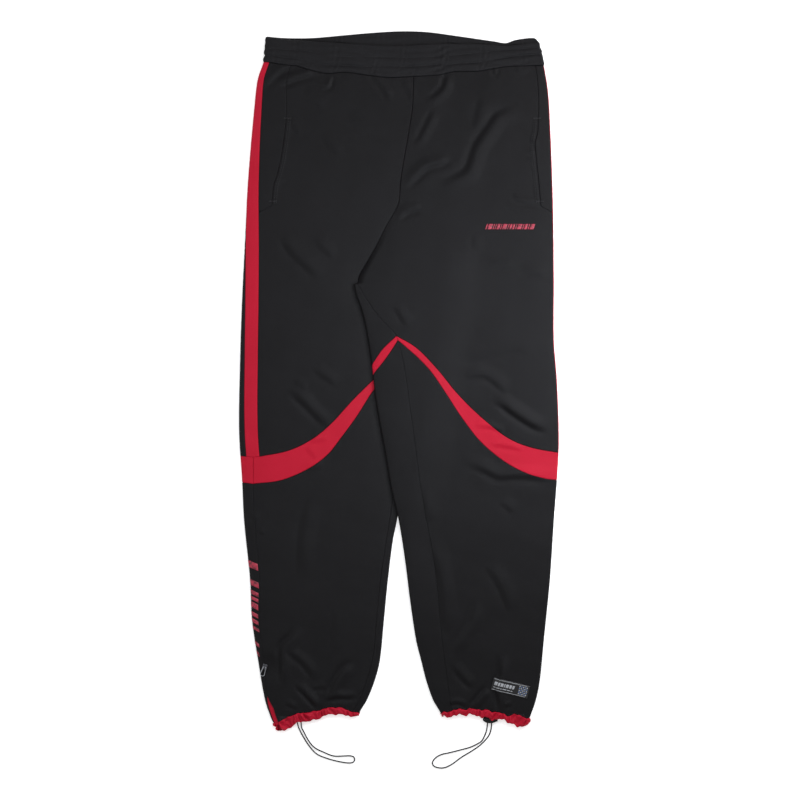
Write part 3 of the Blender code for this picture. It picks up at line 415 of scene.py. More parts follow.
back_waist_top = smooth_curve((
    (-0.2000, 0.5080), (-0.1690, 0.5053), (-0.1279, 0.5053), (-0.0853, 0.5089),
    (-0.0426, 0.5127), (0.0015, 0.5152), (0.0412, 0.5141), (0.0809, 0.5089),
    (0.1397, 0.5004), (0.1573, 0.4979), (0.1705, 0.5023), (0.1985, 0.5053),
    (0.2058, 0.5000),
))


def inner_fold(leg, y):
    """Below the crotch the inner fold, and above it the other side of the trunk."""
    return np.where(y <= CROTCH_Y, leg.inner_below_crotch(y), leg.other.outer(y))


def body_thickness(y):
    near_waist = smoothstep((y - 0.38) / 0.07)
    near_hem = smoothstep((-0.42 - y) / 0.06)
    return LEG_THICKNESS + WAIST_EXTRA_THICKNESS * near_waist + HEM_EXTRA_THICKNESS * near_hem


def fold_length(y):
    return math.pi * body_thickness(y) / 4


def flat_width(leg, y):
    return np.abs(leg.outer(y) - inner_fold(leg, y)) - body_thickness(y)


def perimeter(leg, y):
    return 2 * flat_width(leg, y) + 4 * fold_length(y)


def s_at_x(leg, x, y):
    return np.abs(leg.outer(y) - x) - body_thickness(y) / 2 + fold_length(y)


# The lie of the cloth: creases are (route, ridge, reach, valley). A crease runs along its
# route with a narrow valley, and a ridge on the side that faces the wearer's upper left,
# which starts steeply at the valley and dies away over its reach.
CROWN = 0.0034
CROWN_REACH = 0.024
VALLEY_WIDTH = 0.0026
LIT_SIDE = (0.75, 0.66)
FRONT_CREASES = (
    # Waist, wearer's right.
    (((-0.147, 0.4589), (-0.1676, 0.4553), (-0.1852, 0.4406), (-0.1984, 0.4245)),
      0.0016, 0.014, 0.0012),
    (((-0.1161, 0.4502), (-0.1426, 0.444), (-0.1602, 0.4377), (-0.1779, 0.4296)),
      0.0024, 0.014, 0.0018),
    (((-0.1279, 0.4384), (-0.1117, 0.4293), (-0.1, 0.4325), (-0.0948, 0.4539)),
      0.0018, 0.009, 0.0014),
    (((-0.0456, 0.4495), (-0.0294, 0.4309), (-0.0132, 0.4098)), 0.0016, 0.014, 0.0013),
    (((-0.1455, 0.4215), (-0.1308, 0.4098), (-0.1103, 0.3951)), 0.001, 0.02, 0.0005),
    (((-0.0867, 0.3862), (-0.0573, 0.3686), (-0.0162, 0.351)), 0.0009, 0.024, 0.0004),
    (((-0.1191, 0.3598), (-0.1044, 0.3421), (-0.0897, 0.326)), 0.0011, 0.02, 0.0005),
    (((-0.1646, 0.3862), (-0.1573, 0.373), (-0.147, 0.3568)), 0.001, 0.012, 0.0005),
    (((-0.1808, 0.2863), (-0.1632, 0.2929)), 0.0008, 0.012, 0.0004),
    # Waist and thigh, wearer's left.
    (((-0.0015, 0.4377), (0.0088, 0.4259), (0.0176, 0.4098)), 0.001, 0.014, 0.0006),
    (((0.0735, 0.4553), (0.0647, 0.4436), (0.0617, 0.4333), (0.0485, 0.4215), (0.0367, 0.4186)),
      0.0022, 0.016, 0.0019),
    (((0.05, 0.4039), (0.0382, 0.3818), (0.0265, 0.3588), (0.0162, 0.351)), 0.0018, 0.016, 0.0011),
    (((0.1793, 0.4112), (0.1582, 0.403), (0.1396, 0.3936), (0.1294, 0.3804), (0.1191, 0.3657),
      (0.1073, 0.3473), (0.1007, 0.3274), (0.0941, 0.3127), (0.0779, 0.3039), (0.0514, 0.2907)),
      0.0032, 0.024, 0.0016),
    (((0.1176, 0.4215), (0.1103, 0.3936), (0.1044, 0.3701)), 0.0012, 0.022, 0.0005),
    (((0.0838, 0.3304), (0.0647, 0.3172), (0.045, 0.312), (0.0301, 0.2995), (0.0187, 0.2882),
      (0.0059, 0.2804)), 0.0022, 0.018, 0.0015),
    (((0.1338, 0.4612), (0.1426, 0.4495), (0.147, 0.4642)), 0.0013, 0.008, 0.001),
    (((0.1661, 0.4539), (0.1808, 0.4509), (0.1955, 0.4539)), 0.0009, 0.012, 0.0005),
    (((0.1896, 0.3539), (0.2021, 0.3421)), 0.0009, 0.009, 0.0007),
    (((0.1837, 0.3326), (0.2014, 0.3333)), 0.0007, 0.008, 0.0006),
    (((0.1852, 0.3208), (0.1999, 0.3211)), 0.0006, 0.007, 0.0005),
    (((0.1867, 0.3105), (0.1999, 0.3105)), 0.0005, 0.007, 0.0004),
    (((0.1617, 0.2686), (0.1793, 0.2617), (0.2029, 0.2576)), 0.0014, 0.012, 0.001),
    (((0.1588, 0.2495), (0.1749, 0.2503)), 0.0007, 0.01, 0.0005),
    (((0, 0.2334), (0.0147, 0.2459), (0.0367, 0.251)), 0.0016, 0.016, 0.0012),
    (((0.1044, 0.2172), (0.1073, 0.1907)), 0.0007, 0.02, 0.0003),
    (((0.1308, 0.1657), (0.1705, 0.1657)), 0.0008, 0.018, 0.0004),
    (((0.1749, 0.1584), (0.2176, 0.151)), 0.0009, 0.02, 0.0004),
    (((-0.0118, 0.1099), (-0.0015, 0.0937), (0.0088, 0.0775)), 0.0012, 0.018, 0.0006),
    (((0.0823, 0.0246), (0.1367, 0.0334), (0.1691, 0.0423), (0.1984, 0.0305)),
      0.0009, 0.026, 0.0003),
    # Thigh and knee, wearer's right.
    (((-0.1808, 0.2172), (-0.1661, 0.1907), (-0.1426, 0.1672), (-0.1161, 0.1452)),
      0.002, 0.024, 0.0009),
    (((-0.1294, 0.2069), (-0.1132, 0.1907), (-0.0955, 0.176)), 0.0012, 0.018, 0.0005),
    (((-0.1308, 0.0173), (-0.1132, 0.004), (-0.0911, -0.0107)), 0.0013, 0.018, 0.0007),
    (((-0.1661, -0.0136), (-0.1426, -0.0356), (-0.1235, -0.0548), (-0.1029, -0.0724)),
      0.0024, 0.02, 0.0014),
    (((-0.1588, -0.0018), (-0.1367, -0.0151)), 0.0009, 0.016, 0.0004),
    (((-0.1308, -0.0915), (-0.1014, -0.0886)), 0.0012, 0.014, 0.0006),
    (((-0.1411, -0.0974), (-0.1235, -0.1165)), 0.0009, 0.014, 0.0004),
    (((-0.1338, -0.1356), (-0.1073, -0.1253)), 0.001, 0.016, 0.0005),
    # Knee, wearer's left.
    (((0.0926, -0.0004), (0.122, 0.004), (0.1411, -0.0077), (0.1573, -0.0239)),
      0.0013, 0.02, 0.0006),
    (((0.1323, -0.0312), (0.1499, -0.0386), (0.1632, -0.0489), (0.1926, -0.068),
      (0.2205, -0.0783)), 0.0032, 0.022, 0.002),
    (((0.1103, -0.0717), (0.1308, -0.0695), (0.1543, -0.0783)), 0.0014, 0.012, 0.0008),
    (((0.1308, -0.0974), (0.1514, -0.0974), (0.1837, -0.104)), 0.0013, 0.012, 0.0007),
    (((0.0838, -0.1253), (0.1147, -0.1312), (0.1441, -0.1452), (0.1705, -0.1444),
      (0.197, -0.1459), (0.2323, -0.1532)), 0.002, 0.022, 0.0008),
    (((-0.0191, -0.1091), (-0.0029, -0.1084)), 0.0009, 0.01, 0.0007),
    (((0.0029, -0.1371), (0.0132, -0.1297), (0.0265, -0.1209)), 0.0014, 0.012, 0.0012),
    (((0.0367, -0.1518), (0.0338, -0.1738), (0.0397, -0.2106)), 0.0008, 0.018, 0.0004),
    (((0.1441, -0.1782), (0.1661, -0.1959)), 0.0008, 0.018, 0.0004),
    # Lower leg, wearer's right.
    (((-0.1338, -0.165), (-0.1441, -0.1973), (-0.1499, -0.2326), (-0.1514, -0.2885)),
      0.0015, 0.026, 0.0006),
    (((-0.1536, -0.3532), (-0.1602, -0.3708), (-0.1735, -0.3855), (-0.1771, -0.4017),
      (-0.1764, -0.4502)), 0.0026, 0.018, 0.0021),
    (((-0.1705, -0.3943), (-0.1543, -0.4076), (-0.1396, -0.4202), (-0.1264, -0.4414)),
      0.0016, 0.016, 0.0011),
    (((-0.1558, -0.4443), (-0.1441, -0.4561), (-0.1338, -0.4671), (-0.1191, -0.484)),
      0.0022, 0.013, 0.0019),
    (((-0.0617, -0.4112), (-0.0817, -0.4178), (-0.0955, -0.4355), (-0.1029, -0.4531),
      (-0.1058, -0.4678)), 0.0024, 0.018, 0.0015),
    (((-0.1117, -0.47), (-0.0911, -0.4661), (-0.0764, -0.4664), (-0.0588, -0.4642)),
      0.002, 0.013, 0.0014),
    (((-0.1279, -0.4546), (-0.1176, -0.4517), (-0.1058, -0.4531)), 0.0006, 0.01, 0.001),
    (((-0.1691, -0.4737), (-0.1499, -0.4833)), 0.001, 0.011, 0.0007),
    (((-0.0985, -0.3282), (-0.1029, -0.4046)), 0.0008, 0.024, 0.0003),
    (((-0.2205, -0.1944), (-0.2132, -0.2091)), 0.0008, 0.014, 0.0005),
    (((-0.2073, -0.2223), (-0.1984, -0.2267)), 0.0007, 0.01, 0.0005),
    # Lower leg, wearer's left.
    (((0.0382, -0.2267), (0.0485, -0.2606), (0.0559, -0.2982), (0.0603, -0.337),
      (0.0632, -0.3635), (0.0794, -0.3811)), 0.0017, 0.024, 0.0008),
    (((0.1117, -0.3194), (0.1014, -0.3488), (0.0897, -0.3679), (0.075, -0.3958)),
      0.0017, 0.02, 0.0009),
    (((0.122, -0.2694), (0.1441, -0.3039), (0.1602, -0.3458)), 0.0014, 0.024, 0.0006),
    (((0.1463, -0.3973), (0.1448, -0.4311), (0.1396, -0.4414), (0.1389, -0.4539),
      (0.1423, -0.4669), (0.1463, -0.4913)), 0.0026, 0.018, 0.0021),
    (((0.1294, -0.4458), (0.1161, -0.4605), (0.1029, -0.4766)), 0.002, 0.013, 0.0017),
    (((0.0735, -0.4164), (0.0911, -0.4384), (0.1088, -0.4546)), 0.0015, 0.016, 0.0009),
    (((0.1529, -0.4789), (0.1676, -0.4759)), 0.001, 0.009, 0.0008),
    (((0.0706, -0.4766), (0.0853, -0.4737), (0.1, -0.4789)), 0.0012, 0.01, 0.0009),
)
BACK_CREASES = (
    # Seat.
    (((-0.1602, 0.4436), (-0.1161, 0.4142), (-0.0794, 0.3701)), 0.0016, 0.022, 0.0008),
    (((0.1485, 0.4289), (0.1044, 0.3921), (0.075, 0.3407)), 0.0018, 0.022, 0.0008),
    (((-0.0573, 0.3407), (-0.0132, 0.2819), (0.0456, 0.2451)), 0.0015, 0.024, 0.0008),
    (((0.1191, 0.2966), (0.075, 0.2451), (0.0235, 0.2157)), 0.0016, 0.024, 0.0008),
    # Back of the knees.
    (((-0.2014, -0.0268), (-0.1455, -0.0445), (-0.0794, -0.0342)), 0.0018, 0.02, 0.0009),
    (((-0.1823, -0.1077), (-0.1235, -0.118), (-0.0573, -0.1003)), 0.0015, 0.02, 0.0008),
    (((0.2073, -0.0239), (0.1485, -0.0445), (0.075, -0.0327)), 0.0018, 0.02, 0.0009),
    (((0.1926, -0.1033), (0.1338, -0.1224), (0.0676, -0.1077)), 0.0015, 0.02, 0.0008),
    # Back of the lower legs.
    (((-0.1455, -0.262), (-0.1573, -0.3208), (-0.1485, -0.3943)), 0.0013, 0.022, 0.0006),
    (((-0.1014, -0.3796), (-0.1191, -0.4237), (-0.1132, -0.4752)), 0.0017, 0.016, 0.001),
    (((-0.1602, -0.409), (-0.1691, -0.4531)), 0.0015, 0.014, 0.0009),
    (((0.1485, -0.262), (0.1602, -0.3208), (0.1485, -0.3943)), 0.0013, 0.022, 0.0006),
    (((0.1044, -0.387), (0.1161, -0.4311), (0.1073, -0.4766)), 0.0017, 0.016, 0.001),
    (((0.1558, -0.4164), (0.1661, -0.4678)), 0.0015, 0.014, 0.0009),
)


def densified(creases):
    """The creases with their routes rounded, and the side that each ridge lies on."""
    ready = []
    for route, ridge, reach, valley in creases:
        line = smooth_route([(x, y, 0.0) for x, y in route], 0.005)[:, :2]
        chord = line[-1] - line[0]
        side = 1.0 if -chord[1] * LIT_SIDE[0] + chord[0] * LIT_SIDE[1] > 0 else -1.0
        ready.append((line, ridge, reach, valley, side))
    return ready


front_creases = densified(FRONT_CREASES)
back_creases = densified(BACK_CREASES)


def crease_height(x, y, creases):
    total = np.zeros_like(x)
    for line, ridge, reach, valley, side in creases:
        low = line.min(axis=0) - 1.3 * reach
        high = line.max(axis=0) + 1.3 * reach
        near = (x > low[0]) & (x < high[0]) & (y > low[1]) & (y < high[1])
        if not near.any():
            continue
        px, py = x[near][:, None], y[near][:, None]
        a, b = line[:-1], line[1:]
        run = b - a
        length = np.hypot(run[:, 0], run[:, 1])
        t = ((px - a[:, 0]) * run[:, 0] + (py - a[:, 1]) * run[:, 1]) / length ** 2
        t = np.clip(t, 0.0, 1.0)
        off_x = px - a[:, 0] - t * run[:, 0]
        off_y = py - a[:, 1] - t * run[:, 1]
        apart = np.hypot(off_x, off_y)
        k = apart.argmin(axis=1)
        rows = np.arange(len(k))
        turn = run[k, 0] * off_y[rows, k] - run[k, 1] * off_x[rows, k]
        away = apart[rows, k] * np.where(turn >= 0, side, -side)
        start = np.concatenate([[0.0], np.cumsum(length)])
        share = (start[k] + t[rows, k] * length[k]) / start[-1]
        taper = smoothstep(share / 0.3) * smoothstep((1 - share) / 0.3)
        q = away / (1.25 * reach)
        bump = np.where(q < 0.34, smoothstep(q / 0.34), 1 - smoothstep((q - 0.34) / 0.66))
        back_swell = smoothstep(-q / 0.4) * (1 - smoothstep((-q - 0.4) / 0.6))
        behind = 0.12 * np.where(q < 0, back_swell, 0)
        width = VALLEY_WIDTH + 0.06 * reach
        groove = 0.85 * np.exp(-(away / width) ** 2)
        total[near] += taper * (ridge * (bump + behind) - valley * groove)
    return total


def slow_waves(x, y):
    """The faint unevenness of cloth that was smoothed out by hand."""
    return (0.00030 * np.sin(41 * x + 17 * y + 1.0) * np.sin(23 * y - 9 * x)
            + 0.00024 * np.sin(67 * y - 35 * x + 2.1) * np.sin(52 * x + 0.4)
            + 0.00014 * np.sin(118 * x + 73 * y) * np.sin(97 * y - 61 * x + 0.8))


def crown(leg, x, y):
    """The front layer stands a little higher in the middle of a leg than at its edges."""
    from_outer = np.abs(x - leg.outer(y))
    if leg.sign < 0:
        edge = np.minimum(left_leg.inner_below_crotch(y), right_leg.inner_below_crotch(y))
    else:
        edge = left_leg.inner_below_crotch(y)
    edge = np.where(y > CROTCH_Y, front_rise(y), edge)
    from_inner = -leg.sign * (edge - x)
    inner_share = np.where(y > CROTCH_Y, 1 - 0.7 * smoothstep((y - CROTCH_Y) / 0.2), 1.0)
    from_waist = front_waist_seam(x) - y
    from_hem = y - leg.hem_seam(x)

    def rise_from(distance, reach):
        return 1 - np.exp(-np.clip(distance, 0.0, None) / reach)
    return (CROWN * rise_from(from_outer, CROWN_REACH)
            * (1 - inner_share * (1 - rise_from(from_inner, CROWN_REACH)))
            * (0.25 + 0.75 * rise_from(from_waist, 0.03))
            * (0.3 + 0.7 * rise_from(from_hem, 0.03)))


def uncovered(leg, x, y):
    """Where the right leg isn't under the left one, as a share that fades at its edge."""
    if leg.sign > 0:
        return 1.0
    edge = np.where(y > CROTCH_Y, 1.0, left_leg.inner_below_crotch(y))
    return np.where(y < -0.2032, 1.0, smoothstep((edge - x + 0.002) / 0.012))


def lift(leg, x, y, front_share):
    """How far the left leg is raised where it lies on the right thigh."""
    if leg.sign < 0:
        return 0.0
    thigh_edge = right_leg.inner_below_crotch(np.minimum(y, CROTCH_Y))
    across = 1 - smoothstep((x - thigh_edge - RAMP_START) / RAMP_WIDTH)
    fade = BACK_RAMP_HEIGHT + (FRONT_RAMP_HEIGHT - BACK_RAMP_HEIGHT) * (front_share > 0.5)
    along = 1 - smoothstep((y - CROTCH_Y) / fade)
    tuck = np.where(y > CROTCH_Y, smoothstep((x - front_rise(y)) / RISE_TUCK), 1.0)
    return (body_thickness(y) + LAYER_GAP) * across * along * tuck


def place_of(leg, s, y, depth, proud):
    """x, and the parts of the height, of a place at a depth under the outer face."""
    quarter = fold_length(y)
    flat = flat_width(leg, y)
    around = perimeter(leg, y)
    s = (s + around / 2) % around - around / 2
    side = np.where(s >= 0, 1.0, -1.0)
    run = np.abs(s)
    bend = body_thickness(y) / 2 + proud
    radius = bend - depth
    near = np.clip(run / quarter, 0.0, 1.0) * math.pi / 2
    far = np.clip((run - quarter - flat) / quarter, 0.0, 1.0) * math.pi / 2
    on_outer = run < quarter
    on_inner = run >= quarter + flat
    inset = np.where(on_outer, bend - radius * np.cos(near), bend + run - quarter)
    inset = np.where(on_inner, bend + flat + radius * np.sin(far), inset)
    rise = np.where(on_outer, side * np.sin(near), side)
    rise = np.where(on_inner, side * np.cos(far), rise)
    return leg.outer(y) + leg.sign * (proud - inset), bend, radius, rise


PIVOT_XY = (-0.1971, -0.4188)


def skin(leg, s, y, depth=0.0, proud=0.0):
    """The place in space of (s, y) at a depth under the outer face, with every crease."""
    s, y, depth = np.broadcast_arrays(np.asarray(s, float), np.asarray(y, float), depth)
    x, bend, radius, rise = place_of(leg, s, y, depth, proud)
    share = (1 + rise) / 2
    on_front = crown(leg, x, y) + crease_height(x, y, front_creases) + slow_waves(x, y)
    on_front = on_front * smoothstep((np.hypot(x - PIVOT_XY[0], y - PIVOT_XY[1]) - 0.008) / 0.016)
    on_back = np.clip(crease_height(x, y, back_creases), 0.0, None)
    z = bend + radius * rise + share * on_front * uncovered(leg, x, y) + (1 - share) * on_back
    return np.stack([x, y, z + lift(leg, x, y, share)], axis=-1)


# Cutting and sewing: each piece of cloth is a grid over its panel, and its edges turn in to
# their seams. It becomes a closed sheet of the knit's own thickness.
SEAM_TURN = 0.0013
SEAM_ROLL = 0.0009
PUCKER = 0.00022
PUCKER_REACH = 0.006
SLANT_STEP = 0.001


def marks_of(marks, leg, y):
    """The marks across a panel as s values, kept in order from its first to its last."""
    placed = np.stack([np.broadcast_to(mark(leg, y), y.shape) for mark in marks])
    turn = np.sign(placed[-1] - placed[0])
    gap = 0.0003
    for k in range(1, len(marks) - 1):
        low = turn * placed[k - 1] + gap
        high = turn * placed[-1] - gap * (len(marks) - 1 - k)
        placed[k] = turn * np.clip(turn * placed[k], low, np.maximum(low, high))
    return placed


def spread(counts):
    """For each line of a grid, the stretch that it is in and its share of the way along."""
    stretch = np.concatenate([np.full(n, k) for k, n in enumerate(counts)] + [[len(counts) - 1]])
    share = np.concatenate([np.arange(n) / n for n in counts] + [[1.0]])
    return stretch.astype(int), share


def turn_in(distance):
    """How deep the cloth has turned into a seam at a distance from it."""
    inside = np.clip(SEAM_ROLL - distance, 0.0, SEAM_ROLL)
    return SEAM_ROLL - np.sqrt(np.maximum(SEAM_ROLL ** 2 - inside ** 2, 0.0))


def pick(grids, index):
    """At each point, the value from the grid that index names there."""
    return np.take_along_axis(grids, np.broadcast_to(index, grids.shape[1:])[None], 0)[0]


def slant(line, leg, s, y):
    """How much longer a sloping line is than its run round the leg."""
    rise = line(leg, s + SLANT_STEP, y) - line(leg, s - SLANT_STEP, y)
    return np.hypot(1, rise / (2 * SLANT_STEP))


def lay_out(leg, marks, counts, levels, rows):
    """s, y and the distances from the four edges, for each point of a panel's grid."""
    first, last = marks[0], marks[-1]
    sense = np.sign(last(leg, np.float64(levels[0][1])) - first(leg, np.float64(levels[0][1])))
    marks = [first, lambda leg, y: first(leg, y) + sense * SEAM_TURN, *marks[1:-1],
             lambda leg, y: last(leg, y) - sense * SEAM_TURN, last]
    stretch, share = spread([3, *counts, 3])
    level_of, level_share = spread([3, *rows, 3])
    lines = [level for level, guess in levels]
    guesses = np.array([guess for level, guess in levels], float)
    guesses = np.concatenate([guesses[:1], guesses[:1], guesses[1:-1], guesses[-1:], guesses[-1:]])
    y = np.tile(guesses[level_of] * (1 - level_share) + guesses[level_of + 1] * level_share,
                (len(stretch), 1))
    for _ in range(16):
        placed = marks_of(marks, leg, y)
        s = (pick(placed, stretch[:, None]) * (1 - share[:, None])
             + pick(placed, stretch[:, None] + 1) * share[:, None])
        foot = lines[0](leg, s, y)
        head = lines[-1](leg, s, y)
        foot_slant = slant(lines[0], leg, s, y)
        head_slant = slant(lines[-1], leg, s, y)
        heights = [foot, foot + SEAM_TURN * foot_slant,
                   *[line(leg, s, y) for line in lines[1:-1]],
                   head - SEAM_TURN * head_slant, head]
        heights = np.stack([np.broadcast_to(h, y.shape) for h in heights])
        y = (pick(heights, level_of) * (1 - level_share)
             + pick(heights, level_of + 1) * level_share)
    edges = SimpleNamespace(
        first=np.abs(s - placed[0]), last=np.abs(placed[-1] - s),
        foot=np.abs(y - foot) / foot_slant, head=np.abs(head - y) / head_slant)
    return s, y, edges


def pucker_wave(along):
    return np.sin(2 * math.pi * along / 0.0113 + 2.2 * np.sin(2 * math.pi * along / 0.047))


def close_sheet(name, outer, inner, cut, material, keep=None):
    """A closed sheet between two grids of points of one size. keep drops cells of the grid."""
    columns, rows = outer.shape[0] - 1, outer.shape[1] - 1
    mesh, column, row = grid_sheet(columns, rows)
    if keep is not None:
        unused = [f for f in mesh.faces if not keep(min(v[column] for v in f.verts),
                                                    min(v[row] for v in f.verts))]
        bmesh.ops.delete(mesh, geom=unused, context="FACES")
    layer = mesh.verts.layers.int.new("layer")
    raised = bmesh.ops.extrude_face_region(mesh, geom=mesh.faces[:], use_keep_orig=True)
    for item in raised["geom"]:
        if isinstance(item, bmesh.types.BMVert):
            item[layer] = 1
    data = bpy.data.meshes.new(name)
    mesh.to_mesh(data)
    mesh.free()
    count = len(data.vertices)

    def layer_values(layer_name):
        values = np.empty(count, np.int32)
        data.attributes[layer_name].data.foreach_get("value", values)
        return values
    i, j, top = layer_values("column"), layer_values("row"), layer_values("layer")
    places = np.where(top[:, None] == 1, outer[i, j], inner[i, j]).astype(np.float32)
    data.vertices.foreach_set("co", places.ravel())
    corner = np.empty(len(data.loops), np.int32)
    data.loops.foreach_get("vertex_index", corner)
    cut_map = data.uv_layers.new(name="cut")
    cut_map.data.foreach_set("uv", cut[i[corner], j[corner]].astype(np.float32).ravel())
    for layer_name in ("column", "row", "layer"):
        data.attributes.remove(data.attributes[layer_name])
    check = bmesh.new()
    check.from_mesh(data)
    if check.calc_volume(signed=True) < 0:
        bmesh.ops.reverse_faces(check, faces=check.faces[:])
        check.to_mesh(data)
    check.free()
    data.update()
    data.shade_smooth()
    data.materials.append(material)
    obj = bpy.data.objects.new(name, data)
    scene.collection.objects.link(obj)
    return obj


def flat_area(s, y, keep=None):
    """Area and sides of a panel's cut, laid out flat."""
    ds, dy = np.diff(s, axis=0), np.diff(y, axis=1)
    cells = np.abs((ds[:, 1:] + ds[:, :-1]) / 2 * (dy[1:, :] + dy[:-1, :]) / 2)
    if keep is not None:
        kept = np.array([[keep(i, j) for j in range(cells.shape[1])]
                         for i in range(cells.shape[0])])
        used = np.zeros(s.shape, bool)
        used[:-1, :-1] |= kept
        used[1:, 1:] |= kept
        cells = cells * kept
        s, y = s[used], y[used]
    return float(cells.sum()), (float(np.ptp(s)), float(np.ptp(y)))


LEAST_FLAT_SIDE = 0.0102


def sew_panel(name, leg, marks, counts, levels, rows, material, *, node,
              thickness=CLOTH, proud=0.0, extra=None, keep=None, pucker=PUCKER,
              strip=False, fullness=1.0, seams=None):
    """A strip's flat sides are measured along its run and across it, with LEAST_FLAT_SIDE as the
    least width that a sheet can be declared with, and fullness is how much longer the cut is
    than its gathered run. seams gives, for an edge, how deep its seam draws
    the cloth in at each height, where 1 is an ordinary seam."""
    s, y, edges = lay_out(leg, marks, counts, levels, rows)
    from_side = np.minimum(edges.first, edges.last)
    from_end = np.minimum(edges.foot, edges.head)
    nearest = np.minimum(from_side, from_end)
    gather = pucker * (np.exp(-from_side / PUCKER_REACH) * pucker_wave(y)
                       + np.exp(-from_end / PUCKER_REACH) * pucker_wave(s))
    draw = {edge: (seams or {}).get(edge, lambda y: 1.0) for edge in vars(edges)}
    turned = [draw[edge](y) * turn_in(distance) for edge, distance in vars(edges).items()]
    depth = np.max(turned, axis=0) - gather * smoothstep(nearest / 0.002)
    if extra is not None:
        depth = depth - extra(leg, s, y, edges)
    outer = skin(leg, s, y, depth, proud)
    inner = skin(leg, s, y, depth + thickness, proud)
    outer[..., 2] = np.maximum(outer[..., 2], 0.0)
    inner[..., 2] = np.maximum(inner[..., 2], 0.8 * thickness)
    piece = close_sheet(name, outer, inner, np.stack([s, y], axis=-1), material, keep)
    area, sides = flat_area(s, y, keep)
    if strip:
        run = np.hypot(np.diff(s, axis=0), np.diff(y, axis=0)).sum(axis=0).mean()
        sides = (float(run), max(LEAST_FLAT_SIDE, area / float(run)))
    sides, area = (sides[0] * fullness, sides[1]), area * fullness
    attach(piece, "garment")
    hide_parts(node)
    return piece


# Knit.
# The cloth is a smooth warp-knitted polyester, black with red trims. Its fine columns of
# stitches follow each panel's own cut, and yarn and dye vary a little over the surface.
def knit_group():
    """Stitch relief and yarn shade from a panel's cut map."""
    group = bpy.data.node_groups.new("knit", "ShaderNodeTree")
    face = group.interface
    face.new_socket("Cut", in_out="INPUT", socket_type="NodeSocketVector")
    face.new_socket("Place", in_out="INPUT", socket_type="NodeSocketVector")
    face.new_socket("Wales per metre", in_out="INPUT", socket_type="NodeSocketFloat")
    face.new_socket("Relief", in_out="OUTPUT", socket_type="NodeSocketFloat")
    face.new_socket("Shade", in_out="OUTPUT", socket_type="NodeSocketFloat")
    nodes, links = group.nodes, group.links
    start, end = nodes.new("NodeGroupInput"), nodes.new("NodeGroupOutput")

    def maths(operation, a, b=None):
        node = nodes.new("ShaderNodeMath")
        node.operation = operation
        for socket, value in zip(node.inputs, (a, b)):
            if isinstance(value, (int, float)):
                socket.default_value = value
            elif value is not None:
                links.new(value, socket)
        return node.outputs[0]
    parts = nodes.new("ShaderNodeSeparateXYZ")
    links.new(start.outputs["Cut"], parts.inputs[0])
    wale = maths("MULTIPLY", parts.outputs["X"], start.outputs["Wales per metre"])
    course = maths("MULTIPLY", parts.outputs["Y"], start.outputs["Wales per metre"])
    across = maths("ABSOLUTE", maths("SUBTRACT", maths("FRACT", wale), 0.5))
    lean = maths("SUBTRACT", maths("MULTIPLY", course, 1.25), maths("MULTIPLY", across, 1.1))
    loop = maths("SINE", maths("MULTIPLY", lean, 2 * math.pi))
    stitch = maths("MULTIPLY", maths("ADD", maths("MULTIPLY", loop, 0.5), 0.5),
                   maths("SUBTRACT", 1.0, maths("MULTIPLY", across, 1.2)))
    yarn = nodes.new("ShaderNodeTexNoise")
    yarn.inputs["Scale"].default_value = 900.0
    yarn.inputs["Detail"].default_value = 3.0
    links.new(start.outputs["Place"], yarn.inputs["Vector"])
    dye = nodes.new("ShaderNodeTexNoise")
    dye.inputs["Scale"].default_value = 14.0
    dye.inputs["Detail"].default_value = 4.0
    links.new(start.outputs["Place"], dye.inputs["Vector"])
    relief = maths("ADD", stitch, maths("MULTIPLY", yarn.outputs["Fac"], 0.35))
    shade = maths("ADD", maths("MULTIPLY", stitch, 0.35),
                  maths("ADD", maths("MULTIPLY", yarn.outputs["Fac"], 0.25),
                        maths("MULTIPLY", dye.outputs["Fac"], 0.55)))
    links.new(relief, end.inputs["Relief"])
    links.new(shade, end.inputs["Shade"])
    return group


knit = knit_group()


def knit_material(name, dark, light, wales, bump, roughness, specular):
    """Knitted cloth whose colour runs from dark to light with the yarn's shade."""
    cloth = new_material(name, light, roughness)
    cloth.shader.inputs["Specular IOR Level"].default_value = specular
    tree = cloth.tree
    cut = tree.nodes.new("ShaderNodeUVMap")
    cut.uv_map = "cut"
    place = tree.nodes.new("ShaderNodeTexCoord")
    stitches = tree.nodes.new("ShaderNodeGroup")
    stitches.node_tree = knit
    stitches.inputs["Wales per metre"].default_value = wales
    ramp = tree.nodes.new("ShaderNodeValToRGB")
    ramp.color_ramp.elements[0].color = (*dark, 1.0)
    ramp.color_ramp.elements[1].color = (*light, 1.0)
    ramp.color_ramp.elements[0].position = 0.25
    ramp.color_ramp.elements[1].position = 0.85
    relief = tree.nodes.new("ShaderNodeBump")
    relief.inputs["Strength"].default_value = 0.6
    relief.inputs["Distance"].default_value = bump
    add_link(tree, cut.outputs["UV"], stitches.inputs["Cut"])
    add_link(tree, place.outputs["Object"], stitches.inputs["Place"])
    add_link(tree, stitches.outputs["Shade"], ramp.inputs["Fac"])
    add_link(tree, ramp.outputs["Color"], cloth.shader.inputs["Base Color"])
    add_link(tree, stitches.outputs["Relief"], relief.inputs["Height"])
    add_link(tree, relief.outputs["Normal"], cloth.shader.inputs["Normal"])
    return cloth.material


black_knit = knit_material("black_knit", (0.0031, 0.0029, 0.0035), (0.0056, 0.0052, 0.0064),
                           1100.0, 0.00018, 0.50, 0.16)
red_knit = knit_material("red_knit", (0.37, 0.0028, 0.016), (0.49, 0.0066, 0.031),
                         1100.0, 0.00018, 0.52, 0.15)


# Where the panels meet. Marks are lines up the leg, as functions of y that give s, and
# levels are lines across it, as functions that give y.
def inseam_s(leg, y):
    return np.where(y > CROTCH_Y, s_at_x(leg, front_rise(y), y), s_at_x(leg, leg.inseam(y), y))


